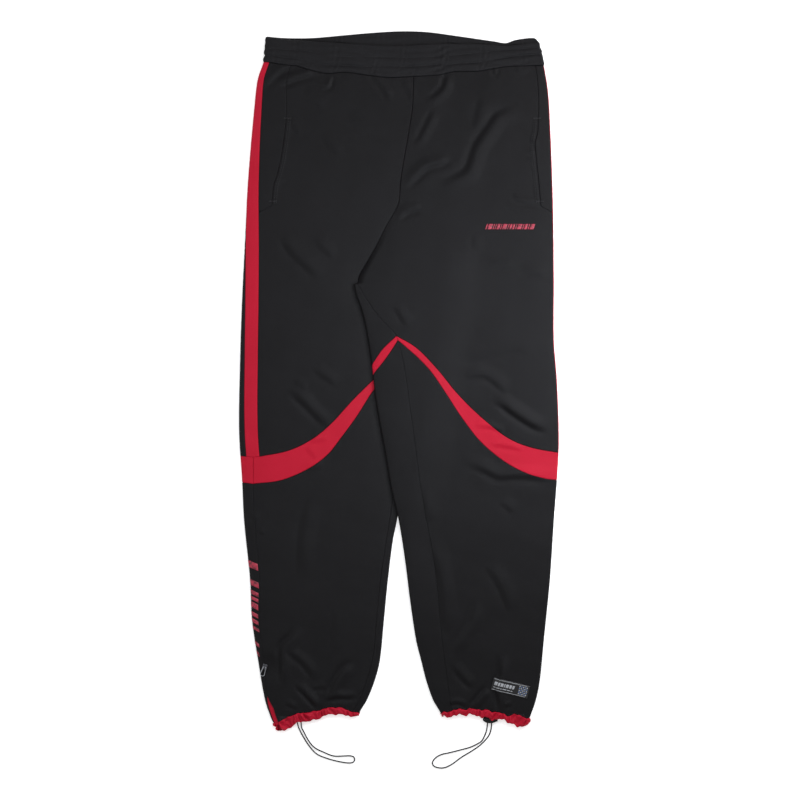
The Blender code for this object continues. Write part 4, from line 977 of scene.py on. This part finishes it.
def round_to_inseam(leg, y):
    return inseam_s(leg, y) - perimeter(leg, y)


def seat_split(leg, y):
    """The back rise, and below the crotch the line where the back wraps forward."""
    seat = -s_at_x(leg, back_rise(y), y)
    if leg.sign < 0:
        wrap = -(fold_length(y) + flat_width(leg, y))
    else:
        past_the_thigh = right_leg.inner_below_crotch(np.minimum(y, CROTCH_Y)) + RAMP_START
        wrap = -s_at_x(leg, np.maximum(past_the_thigh, inner_fold(leg, y) + LEAST_WRAP), y)
    return np.where(y > CROTCH_Y, seat, wrap)


def stripe_front(leg, y):
    return leg.stripe(y) + STRIPE_WIDTH / 2


def stripe_back(leg, y):
    return leg.stripe(y) - STRIPE_WIDTH / 2


def thigh_edge(leg, y):
    """The stripe's seam, and above the pocket's foot its mouth."""
    seam = stripe_front(leg, y)
    share = np.clip((y - POCKET_FOOT_Y + POCKET_FOOT_TURN) / POCKET_FOOT_TURN, 0.0, 1.0)
    return seam + (leg.pocket_mouth(y) - seam) * share


def side_seam(leg, y):
    return leg.side_seam(y)


def zip_opening(leg, y):
    """Width of the open zip in the wearer's right side seam."""
    if leg.sign > 0:
        return 0.0 * y
    above_hem = y - leg.hem_seam(leg.outer(y))
    open_share = (ZIP_TOP_RISE - above_hem) / (ZIP_TOP_RISE - ZIP_FULL_RISE)
    return ZIP_OPEN_WIDTH * np.clip(open_share, 0, 1)


def shin_edge(leg, y):
    return leg.side_seam(y) + zip_opening(leg, y)


# The bend at a fold takes a little more cloth than the fold itself. The hem's edge swells
# over the cord lock that is tucked under it.
BEND_SHARE = 1.25
LOCK_X = 0.1335
LOCK_SWELL = 0.0016


def beside(mark, distance):
    return lambda leg, y: mark(leg, y) + distance


def fold_mark(side):
    return lambda leg, y: side * BEND_SHARE * fold_length(y)


def inner_fold_mark(quarters):
    return lambda leg, y: -(flat_width(leg, y) + (1 + quarters) * fold_length(y))


def at_height(height):
    return (lambda leg, s, y: height + 0.0 * s), height


def waist_level(front_line, back_line):
    def level(leg, s, y):
        x, _, _, rise = place_of(leg, s, y, 0.0, 0.0)
        share = smoothstep((1 + rise) / 2)
        return back_line(x) + (front_line(x) - back_line(x)) * share
    return level, 0.47


def band_level(edge, on_front):
    def level(leg, s, y):
        inseam = inseam_s(leg, y)
        if on_front:
            return getattr(leg, edge)((inseam - s) / (inseam - leg.side_seam(y)))
        around = perimeter(leg, y) - inseam
        share = (around + s) / (around + leg.side_seam(y))
        return getattr(back_band, edge)(share) - leg.back_band_drop
    return level, -0.05


def hem_level(edge, rise=0.0):
    """A line along the ankle, which the cord inside the hem draws into small scallops."""
    amount = {"hem_edge": 0.0011, "hem_seam": 0.0007}[edge] * max(0.0, 1 - rise / 0.02)

    def level(leg, s, y):
        x = place_of(leg, s, y, 0.0, 0.0)[0]
        strength = amount * (1.25 if leg.sign > 0 else 0.7)
        wave = (np.sin(2 * math.pi * x / 0.0212 + 1.1)
                + 0.7 * np.sin(2 * math.pi * x / 0.0127 + 0.5)
                + 0.45 * np.sin(2 * math.pi * x / 0.0074 + 2.0))
        over_lock = LOCK_SWELL * np.exp(-((x - LOCK_X) / 0.009) ** 2) * (edge == "hem_edge")
        return getattr(leg, edge)(x) + rise + strength * wave - over_lock
    return level, -0.48


def inseam_draw(y):
    """The inseam lies flat, and the front rise above it draws in deep."""
    return 0.42 + 1.15 * smoothstep((y - CROTCH_Y + 0.004) / 0.012)


def mouth_draw(y):
    """The pocket mouth is open between its two bar tacks. Past them its seam lies flat."""
    open_mouth = (smoothstep((y - POCKET_FOOT_Y + 0.004) / 0.006)
                  * smoothstep((MOUTH_TOP_Y - y) / 0.008))
    return np.where(y < POCKET_FOOT_Y - POCKET_FOOT_TURN, 0.9, 0.22 + 1.1 * open_mouth)


def flat_draw(y):
    return 0.38


waist_seam = waist_level(front_waist_seam, back_waist_seam)
waist_top = waist_level(front_waist_top, back_waist_top)


# Front thighs.
# One piece of black knit each, from the knee band up to the waistband, between the inseam
# and the side stripe. The pocket mouth is its free edge, turned back and topstitched.
MOUTH_TOP_Y = 0.386
MOUTH_PROUD = 0.0005
FRONT_COLUMNS = 86
THIGH_ROWS = (78, 34, 4, 66)


def mouth_fold(leg, s, y, edges):
    """The turned-back edge along the pocket mouth stands a little prouder."""
    along_mouth = smoothstep((y - POCKET_FOOT_Y) / 0.006) * smoothstep((MOUTH_TOP_Y - y) / 0.008)
    return MOUTH_PROUD * along_mouth * (1 - smoothstep((edges.first - 0.005) / 0.004))


for leg in (right_leg, left_leg):
    sew_panel(
        leg.name + "_front_thigh", leg,
        [thigh_edge, beside(thigh_edge, 0.009), inseam_s], (5, FRONT_COLUMNS),
        [band_level("band_top", True), at_height(CROTCH_Y),
         at_height(POCKET_FOOT_Y - POCKET_FOOT_TURN), at_height(POCKET_FOOT_Y), waist_seam],
        THIGH_ROWS, black_knit, node=leg.name + "_front_upper",
        extra=mouth_fold,
        seams={"first": mouth_draw, "last": inseam_draw})


# Seat and back thighs.
# One piece each, from the side stripe over the seat to the back rise. Below the crotch it
# wraps round the inner fold and meets the front at the inseam.
SEAT_COUNTS = (5, 8, 42, 8, 6, 5)
SEAT_SPLIT_COLUMN = 3 + sum(SEAT_COUNTS[:3])
BACK_THIGH_ROWS = (48, 30, 26)
BACK_CROTCH_ROW = 3 + BACK_THIGH_ROWS[0]


def below_crotch_or_seat(i, j):
    return j < BACK_CROTCH_ROW or i < SEAT_SPLIT_COLUMN


for leg in (right_leg, left_leg):
    sew_panel(
        leg.name + "_seat_and_back_thigh", leg,
        [stripe_back, fold_mark(1), fold_mark(-1), seat_split, inner_fold_mark(0),
         inner_fold_mark(2), round_to_inseam], SEAT_COUNTS,
        [band_level("band_top", False), at_height(CROTCH_Y), at_height(POCKET_FOOT_Y), waist_seam],
        BACK_THIGH_ROWS, black_knit, node=leg.name + "_back_upper",
        keep=below_crotch_or_seat, seams={"last": flat_draw})


# Side stripes.
# Red knit strips let in down the outside of each thigh, from the waistband to the knee band.
def stripe_foot():
    on_front = band_level("band_top", True)[0]
    on_back = band_level("band_top", False)[0]

    def level(leg, s, y):
        return np.where(s > leg.side_seam(y), on_front(leg, s, y), on_back(leg, s, y))
    return level, -0.1


for leg in (right_leg, left_leg):
    sew_panel(
        leg.name + "_stripe", leg, [stripe_front, fold_mark(1), fold_mark(-1), stripe_back],
        (5, 9, 4), [stripe_foot(), at_height(CROTCH_Y), waist_seam], (80, 110), red_knit,
        node=leg.name + "_side_stripe", pucker=0.00012)


# Pocket sides.
# The narrow black piece between the stripe and the pocket mouth. It runs on under the mouth
# as the pocket's inner wall.
POCKET_TUCK = 0.009
POCKET_DROP = 0.0011


def pocket_under(leg, s, y, edges):
    past_mouth = s - thigh_edge(leg, y)
    return -POCKET_DROP * smoothstep((past_mouth + 0.0012) / 0.0018)


for leg in (right_leg, left_leg):
    sew_panel(
        leg.name + "_pocket_wall", leg,
        [stripe_front, beside(thigh_edge, -0.0015), beside(thigh_edge, 0.001),
         beside(thigh_edge, POCKET_TUCK)], (9, 5, 4),
        [at_height(POCKET_FOOT_Y - 0.8 * POCKET_FOOT_TURN), at_height(POCKET_FOOT_Y), waist_seam],
        (5, 78), black_knit, node=leg.name + "_pocket_side",
        extra=pocket_under, pucker=0.0001)


# Knee bands.
# Curved red panels across each knee, front and back, wide at the side and narrow at the
# inseam, with a seam above and below.
for leg in (right_leg, left_leg):
    sew_panel(
        leg.name + "_knee_band", leg,
        [side_seam, beside(side_seam, 0.014), inseam_s], (12, FRONT_COLUMNS),
        [band_level("band_foot", True), band_level("band_top", True)], (14,), red_knit,
        node=leg.name + "_knee_band_front", pucker=0.00016, strip=True)
    sew_panel(
        leg.name + "_knee_band_behind", leg,
        [side_seam, fold_mark(1), fold_mark(-1), inner_fold_mark(0), inner_fold_mark(2),
         round_to_inseam], (8, 8, 48, 8, 6),
        [band_level("band_foot", False), band_level("band_top", False)], (10,), red_knit,
        node=leg.name + "_knee_band_back", pucker=0.00016, strip=True)


# Lower legs.
# Black knit from the knee band to the hem, front and back. The right side seam ends in an
# open zip at its foot.
for leg in (right_leg, left_leg):
    sew_panel(
        leg.name + "_shin", leg, [shin_edge, beside(shin_edge, 0.014), inseam_s],
        (12, FRONT_COLUMNS),
        [hem_level("hem_seam"), hem_level("hem_seam", ZIP_FULL_RISE),
         hem_level("hem_seam", ZIP_TOP_RISE), band_level("band_foot", True)],
        (9, 9, 112), black_knit, node=leg.name + "_front_lower",
        seams={"first": flat_draw, "last": flat_draw})
    sew_panel(
        leg.name + "_calf", leg,
        [side_seam, fold_mark(1), fold_mark(-1), inner_fold_mark(0), inner_fold_mark(2),
         round_to_inseam], (8, 8, 46, 8, 6),
        [hem_level("hem_seam"), hem_level("hem_seam", ZIP_FULL_RISE),
         hem_level("hem_seam", ZIP_TOP_RISE), band_level("band_foot", False)],
        (6, 6, 70), black_knit, node=leg.name + "_back_lower",
        seams={"first": flat_draw, "last": flat_draw})


# Waistband.
# A wide elastic band in a knit casing, stitched through in rows. The front dips, so the
# inside of the back shows above it. The elastic draws the casing into fine gathers.
BAND_WALL = 0.0022
BAND_PROUD = 0.0006
BAND_GROOVE = 0.0011
BAND_GROOVE_WIDTH = 0.0015
BAND_GATHER = 0.00036
BAND_FOLD = 0.0010
low_row = smooth_curve((
    (-0.2000, 0.4800), (-0.1540, 0.4744), (-0.1320, 0.4700), (-0.1060, 0.4656),
    (-0.0810, 0.4646), (-0.0500, 0.4631), (0.0160, 0.4631), (0.0450, 0.4649),
    (0.0730, 0.4660), (0.1076, 0.4685), (0.1320, 0.4715), (0.1530, 0.4753),
    (0.1776, 0.4790), (0.2100, 0.4815),
))
high_row = smooth_curve((
    (-0.2000, 0.4900), (-0.1320, 0.4850), (-0.1118, 0.4804), (-0.0830, 0.4777),
    (0.0000, 0.4765), (0.0300, 0.4767), (0.0744, 0.4790), (0.1300, 0.4847),
    (0.2000, 0.4900),
))


def row_height(row, s, x):
    """The height of a row of stitches: drawn about on the front, level on the back."""
    behind = back_waist_seam(x) + (0.026 if row is high_row else 0.011)
    return np.where(s >= 0, row(x), behind)


def band_relief(leg, s, y, edges):
    """Grooves at the rows of stitches, gathers between them, and soft lengthwise folds."""
    x = place_of(leg, s, y, 0.0, 0.0)[0]
    low, high = row_height(low_row, s, x), row_height(high_row, s, x)
    uneven = 0.75 + 0.25 * np.sin(37 * s + 1.0) * np.sin(90 * s)
    groove = (np.exp(-((y - low) / BAND_GROOVE_WIDTH) ** 2)
              + 0.6 * np.exp(-((y - high) / BAND_GROOVE_WIDTH) ** 2)) * uneven
    to_seam = np.clip(edges.foot / np.maximum(edges.foot + low - y, 0.002), 0.0, 1.0)
    rib = np.where(y < low, np.sin(math.pi * to_seam), 0.0)
    between = np.clip((y - low) / np.maximum(high - low, 0.002), 0.0, 1.0)
    tunnel = np.where(y >= low, np.sin(math.pi * between), 0.0)
    gather = (np.sin(2 * math.pi * s / 0.0061 + 1.7 * np.sin(2 * math.pi * s / 0.031))
              * (0.5 + 0.5 * np.sin(2 * math.pi * s / 0.053 + 60 * edges.foot)))
    lean = edges.foot + 0.0022 * np.sin(2 * math.pi * s / 0.11)
    folds = (np.sin(2 * math.pi * lean / 0.0105 + 2.2 * np.sin(2 * math.pi * s / 0.17))
             * smoothstep(edges.head / 0.006)
             * (0.25 + 0.75 * np.sin(2 * math.pi * s / 0.083 + 0.6) ** 2))
    free = smoothstep(np.minimum(edges.foot, edges.head) / 0.003)
    return (free * (BAND_GATHER * gather + 0.6 * BAND_FOLD * folds * (1 - 0.6 * tunnel)
                    + 0.0007 * rib + 0.0009 * tunnel) - BAND_GROOVE * groove)


def half_way_round(side):
    return lambda leg, y: side * perimeter(leg, y) / 2


# The casing's knit is finer than the leg knit. Its lighter tone is painted light: it stands in for
# the brighter light that falls on the top of the trousers.
waistband_knit_painted_light = knit_material(
    "waistband_knit_painted_light", (0.0050, 0.0048, 0.0056), (0.0092, 0.0088, 0.0104), 900.0, 0.00022,
    0.55, 0.16)
for name, side in (("front", 1.0), ("back", -1.0)):
    sew_panel(
        "waistband_" + name + "_casing", right_leg,
        [lambda leg, y: 0.0 * y, fold_mark(side),
         lambda leg, y, side=side: side * (perimeter(leg, y) / 2 - BEND_SHARE * fold_length(y)),
         half_way_round(side)], (8, 200, 8), [waist_seam, waist_top], (32,), waistband_knit_painted_light,
        node="waistband_" + name, thickness=BAND_WALL,
        proud=BAND_PROUD, extra=band_relief, pucker=0.0, fullness=1.12)


# Hem bindings.
# Red knit tubes round the ankles, gathered on the cord inside them.
HEM_WALL = 0.0016
HEM_PROUD = 0.0005
HEM_GATHER = 0.0014


def hem_relief(leg, s, y, edges):
    """Uneven gathers across the tube, which leans a little as they cross it."""
    lean = s + 0.6 * edges.foot * np.sin(2 * math.pi * s / 0.043)
    wave = (np.sin(2 * math.pi * lean / 0.0143 + 2.4 * np.sin(2 * math.pi * s / 0.061))
            + 0.7 * np.sin(2 * math.pi * lean / 0.0079 + 1.3 + 2 * np.sin(2 * math.pi * s / 0.04))
            + 0.4 * np.sin(2 * math.pi * (lean / 0.0047 + edges.foot / 0.009)))
    middle = smoothstep(np.minimum(edges.foot, edges.head) / 0.0022)
    x = place_of(leg, s, y, 0.0, 0.0)[0]
    over_lock = LOCK_SWELL * np.exp(-((x - LOCK_X) / 0.010) ** 2) * (s > 0)
    return HEM_GATHER * wave * (0.35 + 0.65 * middle) + 0.0007 * middle + over_lock


def hem_end(leg, y):
    return leg.side_seam(y) + perimeter(leg, y)


for leg in (right_leg, left_leg):
    sew_panel(
        leg.name + "_hem", leg, [shin_edge, beside(shin_edge, 0.012), hem_end], (12, 230),
        [hem_level("hem_edge"), hem_level("hem_seam")], (7,), red_knit,
        node=leg.name + "_hem_binding", thickness=HEM_WALL,
        proud=HEM_PROUD, extra=hem_relief, pucker=0.0, strip=True, fullness=1.35)


# The open zip in the wearer's right ankle.
# A red facing backs the slit, and the coil's two rows of teeth run down its edges from the
# slider to the hem. Slider and puller are dark nickel-plated zinc.
ZIP_HEM_END_Y = -0.494
FACING_TUCK = 0.0035
FACING_SUNK = 0.0013
TOOTH_PITCH = 0.0013
TOOTH_SIZE = (0.0017, 0.0007, 0.0007)
TOOTH_LEAN = 0.35
TOOTH_SUNK = 0.0007


def fix_on(name, mesh, material, node=None):
    """Makes an object of a finished mesh and fixes it to the trousers."""
    piece = put_in_scene(name, mesh, material)
    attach(piece, "garment")
    if node:
        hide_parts(node)
    return piece


def facing_under(leg, s, y, edges):
    """The facing lies under the two edges of the slit."""
    return -FACING_SUNK + 0.0 * s


sew_panel(
    "zip_facing", right_leg,
    [beside(side_seam, -FACING_TUCK), beside(shin_edge, FACING_TUCK)], (14,),
    [hem_level("hem_seam", -0.004), hem_level("hem_seam", ZIP_FACING_RISE)], (40,), red_knit,
    node="ankle_zip_facing", extra=facing_under, pucker=0.0, strip=True)

dark_nickel = new_material("dark_nickel", (0.10, 0.10, 0.11), 0.34, 1.0)
wire_nickel = new_material("wire_nickel", (0.36, 0.37, 0.40), 0.32, 1.0)
for node, nickel in (("ankle_zip_slider", dark_nickel), ("ankle_zip_puller", wire_nickel)):
    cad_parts[node].data.materials.clear()
    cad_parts[node].data.materials.append(nickel.material)

coil_black = new_material("coil_black", (0.012, 0.012, 0.013), 0.4)
teeth_mesh = bmesh.new()
tooth_rows = np.arange(PIVOT_XY[1] - 0.006, ZIP_HEM_END_Y, -TOOTH_PITCH)
for edge_of, lean in ((lambda y: side_seam(right_leg, y) + 0.0002, 1.0),
                      (lambda y: shin_edge(right_leg, y) - 0.0002, -1.0)):
    for y in tooth_rows:
        seat = skin(right_leg, edge_of(y), y, TOOTH_SUNK)
        turn = Matrix.Rotation(lean * TOOTH_LEAN, 3, "Z") @ Matrix.Diagonal(TOOTH_SIZE)
        bmesh.ops.create_icosphere(
            teeth_mesh, subdivisions=1, radius=0.5,
            matrix=Matrix.Translation(Vector(seat)) @ turn.to_4x4())
fix_on("zip_teeth", teeth_mesh, coil_black.material)


# Stitching.
# Lockstitched polyester thread, all black: two rows along each pocket mouth, a dense bar tack
# at each end of it, the waistband's rows and one row above each hem binding.
THREAD = 0.00042
HEAVY_THREAD = 0.00045
TACK_STITCHES = 22
TACK_LENGTH = 0.0110
TACK_HALF_HEIGHT = 0.0008
MOUTH_PITCH, MOUTH_STITCH = 0.0034, 0.0025
HEM_PITCH, HEM_STITCH = 0.0034, 0.0024
BAND_PITCH, BAND_STITCH = 0.0036, 0.0027
HEM_START_Y = -0.475
black_thread = new_material("black_thread", (0.014, 0.014, 0.016), 0.5)


def stitch(mesh, leg, start, end, thickness, proud=0.0, depth=0.0):
    """One stitch between two (s, y) places, lying on the cloth."""
    a = Vector(skin(leg, *start, depth, proud))
    b = Vector(skin(leg, *end, depth, proud))
    a.z, b.z = max(a.z, thickness / 2), max(b.z, thickness / 2)
    turn = (b - a).to_track_quat("X", "Z").to_matrix()
    size = Matrix.Diagonal(((b - a).length, thickness, thickness))
    bmesh.ops.create_icosphere(
        mesh, subdivisions=1, radius=0.5,
        matrix=Matrix.Translation((a + b) / 2) @ (turn @ size).to_4x4())


for leg in (right_leg, left_leg):
    mouth_mesh = bmesh.new()
    for inset in (0.0032, 0.0062):
        for y in np.arange(POCKET_FOOT_Y + 0.004, MOUTH_TOP_Y, MOUTH_PITCH):
            stitch(mouth_mesh, leg, (thigh_edge(leg, y) + inset, y),
                   (thigh_edge(leg, y + MOUTH_STITCH) + inset, y + MOUTH_STITCH), THREAD,
                   depth=-MOUTH_PROUD * (1 - smoothstep((inset - 0.005) / 0.004)))
    for y, start in ((POCKET_FOOT_Y + 0.007, -0.0045), (MOUTH_TOP_Y + 0.001, -0.0035)):
        for k in range(TACK_STITCHES):
            s = thigh_edge(leg, y) + start + TACK_LENGTH * k / TACK_STITCHES
            rise = TACK_HALF_HEIGHT if k % 2 else -TACK_HALF_HEIGHT
            stitch(mouth_mesh, leg, (s, y - rise), (s + 0.0005, y + rise), HEAVY_THREAD,
                   depth=-0.0006)
    fix_on(leg.name + "_pocket_stitching", mouth_mesh, black_thread.material)

    hem_mesh = bmesh.new()
    around = perimeter(leg, HEM_START_Y)
    seam_of, guess = hem_level("hem_seam", 0.0016)
    for s in np.arange(side_seam(leg, HEM_START_Y) + 0.010, around - 0.004, HEM_PITCH):
        height = np.float64(guess)
        for _ in range(6):
            height = seam_of(leg, np.float64(s), height)
        end_height = seam_of(leg, np.float64(s + HEM_STITCH), height)
        stitch(hem_mesh, leg, (s, height), (s + HEM_STITCH, end_height), THREAD)
    fix_on(leg.name + "_hem_stitching", hem_mesh, black_thread.material)

band_mesh = bmesh.new()
for row in (low_row, high_row):
    for side in (1.0, -1.0):
        for run in np.arange(0.004, 0.404, BAND_PITCH):
            ends = []
            for s in (side * run, side * (run + BAND_STITCH)):
                height = np.float64(0.475)
                for _ in range(4):
                    x = place_of(right_leg, np.float64(s), height, 0.0, 0.0)[0]
                    height = row_height(row, s, x)
                ends.append((s, float(height)))
            sunk = BAND_GROOVE * (0.75 if row is low_row else 0.4)
            stitch(band_mesh, right_leg, *ends, HEAVY_THREAD, proud=BAND_PROUD, depth=sunk)
fix_on("waistband_stitching", band_mesh, black_thread.material)


# Prints.
# Thin heat-transfer film in faded red: a row of slanted bars on the wearer's left thigh, and
# bars across the outer edge of the right shin. Both are plain shapes.
FILM = 0.00022
FILM_BITE = 0.0003
LEAST_FILM_HEIGHT = 0.0001
PRINT_STEP = 0.0014
print_red = new_material("print_red", (0.36, 0.013, 0.030), 0.45)
wear_tree = print_red.tree
worn = wear_tree.nodes.new("ShaderNodeTexNoise")
worn.inputs["Scale"].default_value = 260.0
worn.inputs["Detail"].default_value = 6.0
worn_place = wear_tree.nodes.new("ShaderNodeTexCoord")
worn_ramp = wear_tree.nodes.new("ShaderNodeValToRGB")
worn_ramp.color_ramp.elements[0].position = 0.36
worn_ramp.color_ramp.elements[1].position = 0.56
worn_ramp.color_ramp.elements[0].color = (0.11, 0.010, 0.020, 1.0)
worn_ramp.color_ramp.elements[1].color = (0.38, 0.022, 0.050, 1.0)
add_link(wear_tree, worn_place.outputs["Object"], worn.inputs["Vector"])
add_link(wear_tree, worn.outputs["Fac"], worn_ramp.inputs["Fac"])
add_link(wear_tree, worn_ramp.outputs["Color"], print_red.shader.inputs["Base Color"])


def film_patch(mesh, corners, place):
    """A thin patch of film between four corners, given in the order foot, foot, head, head."""
    (ax, ay), (bx, by), (cx, cy), (dx, dy) = corners
    across = max(1, round(math.hypot(bx - ax, by - ay) / PRINT_STEP))
    up = max(1, round(math.hypot(dx - ax, dy - ay) / PRINT_STEP))
    patch = bmesh.new()
    bmesh.ops.create_grid(patch, x_segments=across, y_segments=up, size=0.5)
    for vert in patch.verts:
        u, v = vert.co.x + 0.5, vert.co.y + 0.5
        foot = (ax + (bx - ax) * u, ay + (by - ay) * u)
        head = (dx + (cx - dx) * u, dy + (cy - dy) * u)
        vert.co = place(foot[0] + (head[0] - foot[0]) * v, foot[1] + (head[1] - foot[1]) * v, FILM)
    raised = bmesh.ops.extrude_face_region(patch, geom=patch.faces[:], use_keep_orig=True)
    for vert in [v for v in raised["geom"] if isinstance(v, bmesh.types.BMVert)]:
        vert.co.z -= FILM + FILM_BITE
    for vert in patch.verts:
        vert.co.z = max(vert.co.z, LEAST_FILM_HEIGHT)
    bmesh.ops.recalc_face_normals(patch, faces=patch.faces)
    held = bpy.data.meshes.new("film")
    patch.to_mesh(held)
    patch.free()
    mesh.from_mesh(held)
    bpy.data.meshes.remove(held)


MARK_FOOT, MARK_HEAD = 0.2238, 0.2316
MARK_SLANT = 0.33
MARK_WIDTHS = (0.0016, 0.0062, 0.0016, 0.0016, 0.0040, 0.0016, 0.0062, 0.0016, 0.0030, 0.0030,
               0.0016, 0.0062, 0.0016, 0.0040, 0.0016, 0.0062)
MARK_GAP = 0.0013
MARK_START_X = 0.1265


def on_thigh(x, y, rise):
    return skin(left_leg, s_at_x(left_leg, x, y), y, -rise)


def slanted(left, foot, right, head):
    return [(x + MARK_SLANT * (y - MARK_FOOT), y)
            for x, y in ((left, foot), (right, foot), (right, head), (left, head))]


mark_mesh = bmesh.new()
mark_x = MARK_START_X
for width in MARK_WIDTHS:
    film_patch(mark_mesh, slanted(mark_x, MARK_FOOT, mark_x + width, MARK_HEAD), on_thigh)
    mark_x += width + MARK_GAP
fix_on("thigh_print", mark_mesh, print_red.material)

SHIN_BARS = (
    (-0.2715, 0.0100), (-0.2975, 0.0085), (-0.3105, 0.0060), (-0.3185, 0.0050),
    (-0.3300, 0.0085), (-0.3420, 0.0060), (-0.3520, 0.0060), (-0.3620, 0.0050),
    (-0.3850, 0.0060), (-0.3985, 0.0060),
)
SHIN_PRINT_X = -0.2058
SHIN_BAR_FALL = 0.0062
SHIN_BAR_TO_SEAM = 0.0014


def on_shin(s, y, rise):
    return skin(right_leg, s, y, -rise)


shin_mesh = bmesh.new()
for y, height in SHIN_BARS:
    end = min(float(s_at_x(right_leg, SHIN_PRINT_X, y)),
              float(side_seam(right_leg, y)) - SHIN_BAR_TO_SEAM)
    film_patch(shin_mesh, [(0.0, y), (end, y - SHIN_BAR_FALL), (end, y - SHIN_BAR_FALL + height),
                           (0.0, y + height)], on_shin)
fix_on("shin_print", shin_mesh, print_red.material)


# The woven label.
# A damask-woven satin tab in black, sewn on the left shin by its edges. Its pattern is plain
# white lines, two rows of small bars and a checked block in white and pale blue.
LABEL_CENTRE = (0.1638, -0.4497)
LABEL_SIZE = (0.0548, 0.0188)
LABEL_TURN = math.radians(-13.7)
LABEL_RISE = 0.0009
BAR_GAP = 0.0010
CHECK_PITCH = 0.0027
CHECK_SIDE = 0.0018


def on_label(across, up, rise):
    x = LABEL_CENTRE[0] + across * math.cos(LABEL_TURN) - up * math.sin(LABEL_TURN)
    y = LABEL_CENTRE[1] + across * math.sin(LABEL_TURN) + up * math.cos(LABEL_TURN)
    return skin(left_leg, s_at_x(left_leg, x, y), y, -(LABEL_RISE + rise))


def box_corners(centre_across, centre_up, width, height, slant=0.0):
    return [(centre_across - width / 2, centre_up - height / 2),
            (centre_across + width / 2, centre_up - height / 2),
            (centre_across + width / 2 + slant, centre_up + height / 2),
            (centre_across - width / 2 + slant, centre_up + height / 2)]


label_ground = new_material("label_ground", (0.006, 0.006, 0.007), 0.42)
label_white = new_material("label_white", (0.34, 0.35, 0.37), 0.5)
label_blue = new_material("label_blue", (0.13, 0.18, 0.32), 0.5)

ground_mesh = bmesh.new()
film_patch(ground_mesh, box_corners(0.0, 0.0, *LABEL_SIZE),
           lambda across, up, rise: on_label(across, up, 0.0))
fix_on("woven_label_ground", ground_mesh, label_ground.material, "woven_label")

white_mesh = bmesh.new()
for up in (-0.0078, 0.0078):
    film_patch(white_mesh, box_corners(-0.0015, up, 0.0500, 0.0006), on_label)
for row_up, height, widths in (
    (0.0014, 0.0052, (0.0042, 0.0030, 0.0042, 0.0018, 0.0042, 0.0036, 0.0030)),
    (-0.0042, 0.0012, (0.0030, 0.0050, 0.0026, 0.0060, 0.0040, 0.0030)),
):
    across = -0.0250
    for width in widths:
        bar = box_corners(across + width / 2, row_up, width, height, 0.12 * height)
        film_patch(white_mesh, bar, on_label)
        across += width + BAR_GAP
blue_mesh = bmesh.new()
for column in range(5):
    for row in range(5):
        square = blue_mesh if (row + column) % 2 else white_mesh
        film_patch(square, box_corners(0.0128 + CHECK_PITCH * column, -0.0055 + CHECK_PITCH * row,
                                       CHECK_SIDE, CHECK_SIDE, 0.0004), on_label)
for name, mesh, thread in (("woven_label_white", white_mesh, label_white),
                           ("woven_label_blue", blue_mesh, label_blue)):
    fix_on(name, mesh, thread.material)


# The cord lock.
# An oval spring lock of moulded black nylon at the left hem, with a round button at one end.
# Its upper side is tucked flat under the hem, and both strands of the hem cord run into it.
LOCK_CENTRE = (LOCK_X, -0.4966, 0.0037)
LOCK_SIZE = (0.0208, 0.0110, 0.0072)
LOCK_TURN = math.radians(-3.0)
LOCK_SEAM_X = 0.0062
BUTTON_X = 0.0100
lock_black = new_material("lock_black", (0.006, 0.006, 0.007), 0.45)
lock_black.shader.inputs["Specular IOR Level"].default_value = 0.25
lock_mesh = bmesh.new()
bmesh.ops.create_uvsphere(
    lock_mesh, u_segments=48, v_segments=28, radius=0.5,
    matrix=Matrix.Diagonal((*LOCK_SIZE, 1.0)))
for vert in lock_mesh.verts:
    seam = math.exp(-((vert.co.x - LOCK_SEAM_X) / 0.00045) ** 2)
    vert.co.yz *= 1 - 0.09 * seam
    vert.co.z *= 1 - 0.45 * min(1.0, max(0.0, (vert.co.y - 0.0002) / 0.0025))
bmesh.ops.create_cone(
    lock_mesh, cap_ends=True, segments=28, radius1=0.0026, radius2=0.0023, depth=0.0030,
    matrix=Matrix.Translation((BUTTON_X, 0.0, 0.0)) @ Matrix.Rotation(math.pi / 2, 4, "Y"))
bmesh.ops.transform(
    lock_mesh, verts=lock_mesh.verts,
    matrix=Matrix.Translation(LOCK_CENTRE) @ Matrix.Rotation(LOCK_TURN, 4, "Z"))
lock = fix_on(
    "oval_cord_lock", lock_mesh, lock_black.material, "cord_lock")
